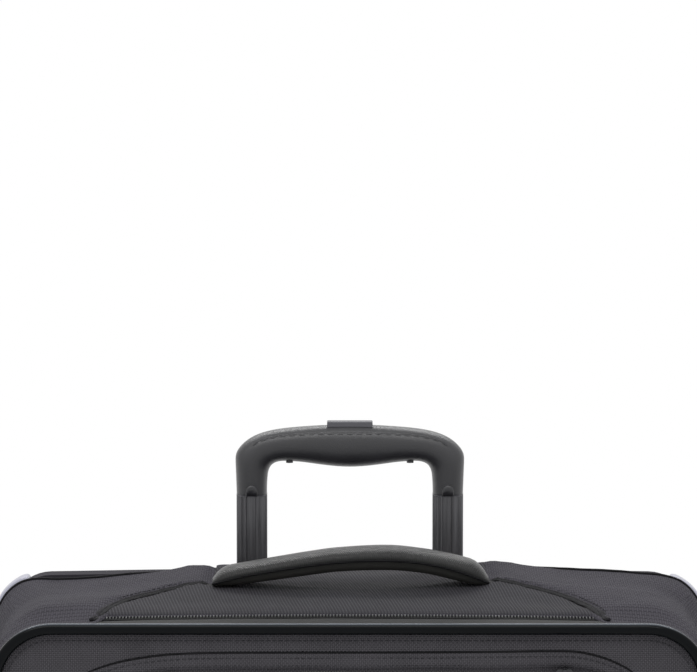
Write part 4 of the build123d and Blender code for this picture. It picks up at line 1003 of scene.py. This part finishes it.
# %% [markdown]
# ## Pocket flaps and pocket zippers
# A band of folded cloth hides each pocket's zipper. It is stitched along both edges, stands a little proud
# and leaves a dark slot under its lower edge, where the teeth can just be seen.

# %% Flap bands
FLAP_TOP = ((-203, 652), (-197, 657.5), (-189, 662), (-178, 666.8), (-162, 671.6), (-145, 674.8),
            (-124, 677.2), (-90, 678.2), (0, 678.4), (90, 678.8), (140, 679.4), (160, 678.8), (176, 675.2),
            (188, 670.4), (197, 665.2), (203, 658))
FLAP_SECTION = ((-1.2, 0.6), (-0.6, 2.2), (0.6, 3.4), (3.4, 4.4), (6.2, 4.8), (8.6, 4.6), (9.6, 3.8),
                (9.7, 2.4), (9.0, 0.8))
POCKET_DROP = 307.0
POCKET_ZIP_Z = 665.0
POCKET_ZIP_HALF = 178.0
flaps = []
flap_threads = []
flap_creases = []
pocket_teeth = []
pocket_tapes = []
for drop in (0.0, POCKET_DROP):
    line = smooth_path(FLAP_TOP, 4.0)[:, :2] - (0, drop)
    wave = 0.35 * ripple(upright(line, 0.0), 60, 31)
    rows = []
    for down, proud in FLAP_SECTION:
        rows.append(upright(line, LID_FRONT - 1.6 - proud - wave * (proud / 4.8), -down))
    flaps.append(sheet_of(rows))
    flap_creases.append(tube_of(upright(line, LID_FRONT - 2.9, 1.4), 0.75, 8))
    for down, proud in ((1.9, 4.15), (7.9, 4.95)):
        flap_threads.append(stitches(upright(line, LID_FRONT - 1.6 - proud, -down), (0, -1, 0.1)))
    z = POCKET_ZIP_Z - drop
    spots = spaced([(x, LID_FRONT - 2.4, z) for x in (-POCKET_ZIP_HALF, POCKET_ZIP_HALF)], 2.0)
    axes = np.broadcast_to(np.array([(1, 0, 0), (0, 0, 1), (0, -1, 0)], float), (len(spots), 3, 3))
    pocket_teeth.append(copies_of(tooth(), spots, axes))
    tape = [[(x, LID_FRONT - y, z + h) for x in np.linspace(-182, 182, 60)] for y, h in
            ((0.6, 4.0), (1.7, 3.8), (1.7, -3.8), (0.6, -4.0))]
    pocket_tapes.append(sheet_of(tape))
piece("pocket_flap_bands", joined(*flaps), "lid", lid_cloth, ["pocket_flaps"])
piece("pocket_flap_creases", joined(*flap_creases), "lid", binding_cloth)
piece("pocket_flap_stitching", joined(*flap_threads), "lid", thread)
piece("pocket_teeth", joined(*pocket_teeth), "lid", coil_nylon, ["pocket_chains"])
piece("pocket_tapes", joined(*pocket_tapes), "lid", webbing_cloth)

# %% [markdown]
# ## The padded carry handle
# The handle is a webbing core with foam, covered by ribbed leather on its domed top and a flat strip below.
# The two meet in a welted seam along each edge. It could be inflated too, but its section is so regular that
# lofting it through tables of heights keeps the arch true. The crown leans to one side, as a worn handle
# does.

# %% Carry handle loft
HANDLE_X = np.linspace(-99.5, 100.5, 61)
HANDLE_TOP = ((-100, 717.2), (-92, 720.4), (-84, 721.6), (-70, 724.0), (-58, 726.2), (-36, 730.0),
              (-14, 733.4), (7, 735.0), (25, 735.7), (37, 735.2), (58, 732.4), (72, 729.6), (87, 726.0),
              (95, 723.4), (101, 718.6))
HANDLE_WELT = ((-100, 708.6), (-91, 711.6), (-79, 714.9), (-64, 717.5), (-49, 720.0), (-35, 722.2),
               (-20, 724.3), (-5, 725.7), (7, 726.4), (22, 726.8), (37, 726.4), (52, 724.9), (67, 722.1),
               (81, 718.0), (89, 715.0), (97, 711.2), (101, 709.4))
HANDLE_UNDER = ((-100, 706.8), (-88, 707.4), (-72, 709.0), (-49, 712.2), (-29, 715.0), (-12, 717.4),
                (7, 718.4), (22, 718.7), (37, 718.4), (56, 716.2), (67, 713.6), (81, 710.0), (93, 707.6),
                (101, 706.8))


def eased(values, times=3):
    """A row of numbers with its corners rubbed off."""
    values = np.array(values, float)
    for _ in range(times):
        values[1:-1] = (values[:-2] + 2 * values[1:-1] + values[2:]) / 4
    return values


handle_top, handle_welt, handle_under = [eased(np.interp(HANDLE_X, *zip(*heights)))
                                         for heights in (HANDLE_TOP, HANDLE_WELT, HANDLE_UNDER)]
HANDLE_MID_Y = 2.0
HANDLE_HALF = 15.0


def handle_section(top, welt, under, squeeze):
    """One slice: a dome over the welt and a flatter band under it, as (across, up) pairs."""
    half = HANDLE_HALF * squeeze
    dome = [(-half * math.cos(a), welt + (top - welt) * math.sin(a) ** 0.8)
            for a in np.radians(np.linspace(4, 176, 19))]
    rear_band = [(half * 0.97, welt - 0.9), (half * 0.93, (welt + under) / 2), (half * 0.84, under + 0.6),
                 (half * 0.6, under)]
    band = rear_band + [(0, under - 0.1)] + [(-a, z) for a, z in rear_band[::-1]]
    return dome, band


dome_rows = []
band_rows = []
welt_front = []
welt_back = []
for k, x in enumerate(HANDLE_X):
    squeeze = tapered(k, len(HANDLE_X), (0.55, 0.78, 0.90, 0.96))
    fullness = tapered(k, len(HANDLE_X), (0.30, 0.66, 0.86, 0.96))
    crown = handle_welt[k] + (handle_top[k] - handle_welt[k]) * fullness
    dome, band = handle_section(crown, handle_welt[k], handle_under[k], squeeze)
    dome_rows.append([(x, HANDLE_MID_Y + a, z) for a, z in dome])
    band_rows.append([(x, HANDLE_MID_Y + a, z) for a, z in band])
    welt_front.append((x, HANDLE_MID_Y - HANDLE_HALF * squeeze - 0.1, handle_welt[k] - 0.3))
    welt_back.append((x, HANDLE_MID_Y + HANDLE_HALF * squeeze + 0.1, handle_welt[k] - 0.3))
section = np.concatenate([np.array(dome_rows), np.array(band_rows)], 1)
shape = capped(sheet_of(section, close_points=True), section.shape[1])
handle = piece("top_handle_cover", shape, "top_handle", handle_leather, ["top_handle_pad"])
handle.data.materials.append(handle_smooth)
for face in handle.data.polygons:
    x, y, z = [1000 * c for c in face.center]
    if z < np.interp(x, HANDLE_X, handle_welt) - 0.4:
        face.material_index = 1
handle_welts = joined(tube_of(welt_front, 0.85, 8), tube_of(welt_back, 0.85, 8))
piece("top_handle_welts", handle_welts, "top_handle", binding_cloth)

# %% [markdown]
# ## The tow grip
# The grip is a bridge on two legs, wrapped in smooth leather. Each slice is a rounded square, spanned by one
# point of the outer outline and one of the inner. Slices set close together at the ends keep those crisp when
# the mesh is subdivided.

# %% Grip shell
GRIP_OUTER = ((84.6, 756), (84.75, 761), (84.95, 767), (85.2, 774), (85.5, 780), (85.5, 784.5),
              (84.6, 787.6), (82.6, 790.8), (79.2, 794.5), (74.6, 798), (68.6, 801), (61.5, 803.2),
              (54, 804.7), (45.4, 805.8), (36, 806.6), (27, 807.2), (18, 807.7), (9, 807.9), (0, 808))
GRIP_INNER = ((61.9, 756), (61.85, 760.5), (61.7, 765), (61.4, 769.5), (61, 772.6), (60.2, 775.2),
              (59, 777.3), (57.2, 779), (54.8, 780.2), (52, 780.8), (49, 781), (45.5, 780.9), (41.5, 780.6),
              (36.5, 780.2), (31, 779.5), (25, 778.6), (17.5, 777.6), (9, 776.7), (0, 776.3))
GRIP_LOW = 756.0
GRIP_MID_Y = 121.0
POST_X = 73.2
GRIP_DEEP = 13.0
GRIP_SQUARE = 2.35
GRIP_POINTS = 40


def both_sides(half_line):
    right = np.array(half_line, float)
    return np.vstack([right, right[-2::-1] * (-1, 1)])


def grip_ring(outer, inner, turn, grow=0.0):
    """A superellipse spanned by an outer and an inner point. Turn 0 is outwards, a quarter turn the front."""
    middle = (outer + inner) / 2
    reach = (outer - inner) / 2 * (1 + grow)
    a = np.sign(np.cos(turn)) * np.abs(np.cos(turn)) ** (2 / GRIP_SQUARE)
    b = np.sign(np.sin(turn)) * np.abs(np.sin(turn)) ** (2 / GRIP_SQUARE)
    plan = middle + np.outer(a, reach)
    return np.stack([plan[:, 0], GRIP_MID_Y - GRIP_DEEP * (1 + grow) * b, plan[:, 1]], 1)


outer_line = both_sides(GRIP_OUTER)
inner_line = both_sides(GRIP_INNER)
ring_turn = np.linspace(0, 2 * np.pi, GRIP_POINTS + 1)[:-1]
rows = [grip_ring(o, i, ring_turn) for o, i in zip(outer_line, inner_line)]
for end, near in ((0, 1), (-1, -2)):
    just_above = rows[end] + (rows[near] - rows[end]) * 0.04
    shrunk = grip_ring(outer_line[end], inner_line[end], ring_turn, -0.25)
    if end == 0:
        rows = [shrunk, rows[end], just_above] + rows[1:]
    else:
        rows = rows[:-1] + [just_above, rows[end], shrunk]
shape = capped(sheet_of(rows, close_points=True), GRIP_POINTS)
soften(piece("grip_wrap", shape, "trolley", grip_leather,
             ["grip_front_shell", "grip_back_shell"]))
grip_seams = []
for turn in (0.86, 0.95):
    pairs = zip(outer_line[9:-9], inner_line[9:-9])
    grip_seams.append(spaced([grip_ring(o, i, np.array([turn]))[0] for o, i in pairs], 1.0))
grip_row = stitches(grip_seams[1], (0, -0.7, 0.7), 5.0, 2.0, 0.3)
piece("grip_stitching", grip_row, "trolley", grip_leather)
piece("grip_seam", tube_of(grip_seams[0], 0.22, 6), "trolley", grip_leather)
collars = []
for k in (0, -1):
    ring = grip_ring(outer_line[k], inner_line[k], ring_turn, 0.012)
    sunk = ring - (0, 0, 0.7)
    collars.append(capped(sheet_of([ring, sunk], close_points=True), GRIP_POINTS))
piece("grip_collars", joined(*collars), "trolley", button_plastic)
tabs = []
for side in (-1, 1):
    rows = []
    for proud, shrink in ((-1.0, 0.0), (0.7, 0.0), (1.2, 0.5), (1.3, 1.6)):
        half = 4.3 - shrink
        arc = [(half * math.cos(a), 3.4 + (4.6 - shrink) * math.sin(a))
               for a in np.radians(np.linspace(0, 180, 13))]
        ring = [(-half, 0.2), (half, 0.2)] + arc
        rows.append([(side * POST_X + x, GRIP_MID_Y - GRIP_DEEP - proud, GRIP_LOW + z) for x, z in ring])
    tabs.append(capped(sheet_of(rows, close_points=True), len(ring)))
piece("grip_snap_tabs", joined(*tabs), "trolley", grip_leather)
print("grip rings", len(rows))

# %% [markdown]
# ## Fluted posts
# The two posts are extruded with a wide groove down the middle and fine ones beside it, front and back. The
# frame's tubes are plain, so each is dressed with a skin that follows the real section.

# %% Posts
FLUTES = ((-11.4, 0.9), (-10.9, 0.3), (-10.0, 0.0), (-8.9, 0.0), (-8.2, -0.25), (-7.5, 0.0), (-6.9, 0.55),
          (-6.1, 0.55), (-5.6, 0.1), (-4.8, -0.2), (-4.1, 0.1), (-3.5, 0.85), (-1.4, 0.9), (0.0, 0.75),
          (1.4, 0.9), (2.6, 0.85), (3.2, 0.0), (4.4, -0.25), (5.6, 0.0), (6.4, 0.35), (7.6, 0.35),
          (8.4, 0.0), (9.8, -0.1), (10.8, 0.3), (11.4, 0.9))
low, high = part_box("inner_tubes")
post_depth = 500 * (high.y - low.y) - 0.3
post_middle = 500 * (high.y + low.y)
posts = []
for side in (-1, 1):
    front = [(side * POST_X + x, post_middle - post_depth + sink) for x, sink in FLUTES]
    back = [(side * POST_X - x, post_middle + post_depth - sink) for x, sink in FLUTES]
    outer = np.array(front + back)
    inner = np.array([side * POST_X, post_middle]) + (outer - (side * POST_X, post_middle)) * (0.86, 0.74)
    rows = []
    for z, ring in ((low.z, inner), (low.z, outer), (high.z, outer), (high.z, inner)):
        rows.append(np.column_stack([ring, np.full(len(ring), 1000 * z)]))
    posts.append(sheet_of(rows, close_rows=True, close_points=True))
piece("fluted_posts", joined(*posts), "trolley", tube_alloy, ["inner_tubes"], smooth=False)

# %% [markdown]
# ## The side carry handle and the sewn handle ends
# The side handle is a smaller pad of the same make, standing on end. All four handle ends are caught under
# folded tabs of webbing, and the two at the side are stitched in a box.

# %% Side handle
SIDE_Z = np.linspace(320, 480, 45)
SIDE_Y = 10.0
low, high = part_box("side_handle_pad")
side_out = 1000 * high.x
bow = 1 - ((SIDE_Z - 400) / 80) ** 2
rows = []
for z, b in zip(SIDE_Z, bow):
    top = 257.6 + (side_out - 257.6) * b ** 0.8
    under = 255.0 + (side_out - 11.2 - 255.0) * b ** 0.9
    half = 14.0 * (0.9 + 0.1 * min(1, b * 5))
    ring = [(top - (top - under) * 0.42 * (1 - math.sin(a) ** 0.8), SIDE_Y - half * math.cos(a), z)
            for a in np.radians(np.linspace(4, 176, 15))]
    ring += [(under, SIDE_Y + half * s, z) for s in (0.86, 0.4, -0.4, -0.86)]
    rows.append(ring)
shape = capped(sheet_of(rows, close_points=True), len(ring))
side_handle = piece("side_handle_cover", shape, "side_handle", handle_leather,
                    ["side_handle_pad"])

# %% Sewn tabs over the handle ends


def tab_on(centre, travel, out, length, width, thick=1.6):
    """A folded tab lying on a surface, with rounded ends that dip to meet the cloth."""
    travel, out = np.asarray(travel, float), np.asarray(out, float)
    side = np.cross(out, travel)
    rows = []
    for share in np.linspace(-1, 1, 15):
        height = thick * (1 - share ** 6) + 0.15
        middle = np.asarray(centre) + travel * share * length / 2
        rows.append([middle + side * width / 2 * s + out * height * (1 - abs(s) ** 7)
                     for s in np.linspace(-1, 1, 11)])
    return sheet_of(rows)


def box_stitch(centre, travel, out, length, width, thick=1.6):
    travel, out = np.asarray(travel, float), np.asarray(out, float)
    side = np.cross(out, travel)
    raised = np.asarray(centre) + out * (thick + 0.2)
    corners = [raised + travel * a * (length / 2 - 2.5) + side * b * (width / 2 - 2.5)
               for a, b in ((-1, -1), (1, -1), (1, 1), (-1, 1), (-1, -1), (1, 1))]
    return stitches(spaced(corners, 1.0), out, 2.4, 1.0, 0.3)


tabs = []
tab_threads = []
for z in (306.0, 494.0):
    tabs.append(tab_on((255.9, SIDE_Y, z), (0, 0, 1), (1, 0, 0), 26, 26))
    tab_threads.append(box_stitch((255.9, SIDE_Y, z), (0, 0, 1), (1, 0, 0), 26, 26))
for side in (-1, 1):
    x = side * 101.5
    spot = (x, HANDLE_MID_Y, CASE_HIGH + float(top_rise(x, HANDLE_MID_Y)) - 0.2)
    tabs.append(tab_on(spot, (side, 0, -0.12 * side), (0.12, 0, 1), 10, 18, 1.0))
piece("handle_end_tabs", joined(*tabs), "case", webbing_cloth, ["handle_anchors"])
piece("handle_end_stitching", joined(*tab_threads), "case", thread)

# %% [markdown]
# ## Back panel, rear piping and the fabric hinge
# The back is a padded panel sunk in the moulded frame. The lid hangs on a strip of doubled cloth along the
# bottom edge, which must bend when the lid opens; here it is one fixed strip that rides on neither body.

# %% Back panel
BACK_POINTS = 420
rings = []
for inset in (7.4, 9.0, 12.0, 17.0, 24.0, 34.0, 48.0, 66.0, 90.0, 120.0, 155.0, 190.0, 225.0):
    spots, _ = outline(HALF_WIDTH - inset, CASE_LOW + inset, CASE_HIGH - inset, max(CORNER - inset, 6.0), 5.0)
    ring = upright(evened(spots, BACK_POINTS), BACK_Y - 1.6 + 1.3 * (1 - math.exp(-(inset - 7) / 8)))
    ring[:, 1] += 0.2 * ripple(ring, 60, 41) * min(1, inset / 40)
    rings.append(ring)
back_shape = closed_middle(rings)
back_fabric = piece("back_fabric", back_shape, "case", pad_cloth, ["back_panel"])

# %% Corner guards
GUARD_SECTION = ((-3, 89), (0.2, 89.2), (1.6, 90.4), (2.2, 93), (2.2, 105), (1.3, 109), (-1.5, 110.8),
                 (-10, 111), (-11.5, 110.2), (-11.5, 108.2), (-4, 108), (-3, 106))
GUARD_MID_Y = 98
guards = []
for side in (-1, 1):
    spots, facing = outline(264.5, CASE_LOW, 699.0, 37.0, 3.0)
    keep = (spots[:, 0] > 238) & (spots[:, 1] > 648)
    spots, facing = spots[keep], facing[keep]
    rows = []
    for k, (spot, out) in enumerate(zip(spots, facing)):
        thin = tapered(k, len(spots), (0.25, 0.7, 0.92))
        rows.append([(side * (spot[0] + out[0] * (o - 2.2 * (1 - thin))),
                      GUARD_MID_Y + (y - GUARD_MID_Y) * (0.9 + 0.1 * thin),
                      spot[1] + out[1] * (o - 2.2 * (1 - thin))) for o, y in GUARD_SECTION])
    guards.append(capped(sheet_of(rows, close_points=True), len(GUARD_SECTION)))
soften(piece("rear_corner_caps", joined(*guards), "case", guard_plastic, ["corner_guards"]))

# %% Rear piping and hinge strip
spots, outs = outline(HALF_WIDTH, CASE_LOW, CASE_HIGH, CORNER, 3.0)
lift = top_rise(spots[:, 0], 85) * outs[:, 1].clip(0) ** 2
flared = corner_flare(spots, outs, 85)
sunk = 2.6 * (1 - smoothstep(120, 165, np.abs(spots[:, 0]))) * (spots[:, 1] > 600)
ring = upright(flared + outs * 0.4, 85.6, lift - sunk)
rear_welt = tube_of(ring, 1.2, 10, closed=True)
piece("rear_welt", rear_welt, "case", binding_cloth, ["case_piping"])
strip = []
for y, z in ((-92.0, 45.2), (-88.0, 44.9), (-86.0, 44.5), (-84.0, 44.3), (-82.0, 44.5), (-80.0, 44.9),
             (-76.0, 45.2), (-76.0, 46.2), (-80.0, 46.0), (-84.0, 45.6), (-88.0, 46.0), (-92.0, 46.2)):
    strip.append([(x, y, z) for x in np.linspace(-HALF_WIDTH + CORNER, HALF_WIDTH - CORNER, 60)])
hinge_strip = piece("hinge_strip", sheet_of(strip, close_rows=True), None, webbing_cloth)
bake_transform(hinge_strip)

# %% [markdown]
# ## Floor, light and camera
# A pale floor and a bright, even surround make soft studio light. Two long strip lamps, one behind and one in
# front, give the piping and the grip their highlights; on the piping a painted highlight in its colour adds
# to it.
# The camera stands far away, with a long lens, slightly above the handle.

# %% Studio
floor_finish = Finish("studio_floor", (0.86, 0.86, 0.86), 0.6)
floor_tone = floor_finish.blend(floor_finish.noise(400, 2), (0.84, 0.84, 0.84), (0.88, 0.88, 0.88))
floor_finish.feed(Base_Color=floor_tone)
FLOOR_RADIUS = 2600
FLOOR_POINTS = 96
turn = np.linspace(0, 2 * np.pi, FLOOR_POINTS + 1)[:-1]
disc = FLOOR_RADIUS * np.stack([np.cos(turn), np.sin(turn), np.zeros(FLOOR_POINTS)], 1)
mesh = bpy.data.meshes.new("studio_floor")
mesh.from_pydata((disc / 1000).tolist(), [], [tuple(range(FLOOR_POINTS))])
floor = bpy.data.objects.new("studio_floor", mesh)
bpy.context.scene.collection.objects.link(floor)
mesh.materials.append(floor_finish.material)
floor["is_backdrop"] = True

world = bpy.data.worlds.new("studio")
bpy.context.scene.world = world
world.use_nodes = True
world.node_tree.nodes["Background"].inputs["Color"].default_value = (1, 1, 1, 1)
world.node_tree.nodes["Background"].inputs["Strength"].default_value = 1.0


def lamp(name, place, target, size, watts):
    data = bpy.data.lights.new(name, "AREA")
    data.shape = "RECTANGLE"
    data.size, data.size_y = size
    data.energy = watts
    obj = bpy.data.objects.new(name, data)
    bpy.context.scene.collection.objects.link(obj)
    obj.location = place
    obj.rotation_mode = "QUATERNION"
    obj.rotation_quaternion = (Vector(target) - Vector(place)).to_track_quat("-Z", "Y")
    obj.visible_camera = False
    return obj


lamp("rear_strip", (0.0, 1.7, 2.4), (0, 0, 0.68), (2.6, 0.28), 26)
lamp("front_strip", (-0.3, -1.1, 2.7), (0, 0.05, 0.68), (2.4, 0.5), 22)

# %% Camera
AIM = Vector((-0.001, 0.121, 0.8746))
ELEVATION = math.radians(6.5)
DISTANCE = 3.79
FOCAL_LENGTH = 262.7
look = Vector((0, math.cos(ELEVATION), -math.sin(ELEVATION)))
lens = bpy.data.cameras.new("camera")
lens.sensor_width = 36.0
lens.lens = FOCAL_LENGTH
lens.clip_end = 100
camera = bpy.data.objects.new("camera", lens)
bpy.context.scene.collection.objects.link(camera)
camera.location = AIM - look * DISTANCE
camera.rotation_mode = "QUATERNION"
camera.rotation_quaternion = look.to_track_quat("-Z", "Y")
bpy.context.scene.camera = camera
bpy.context.scene.view_settings.view_transform = "Standard"

# %% Overall size
low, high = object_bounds()
print("pieces", len(pieces_made), "box in mm", [round(1000 * v) for v in (high - low)])
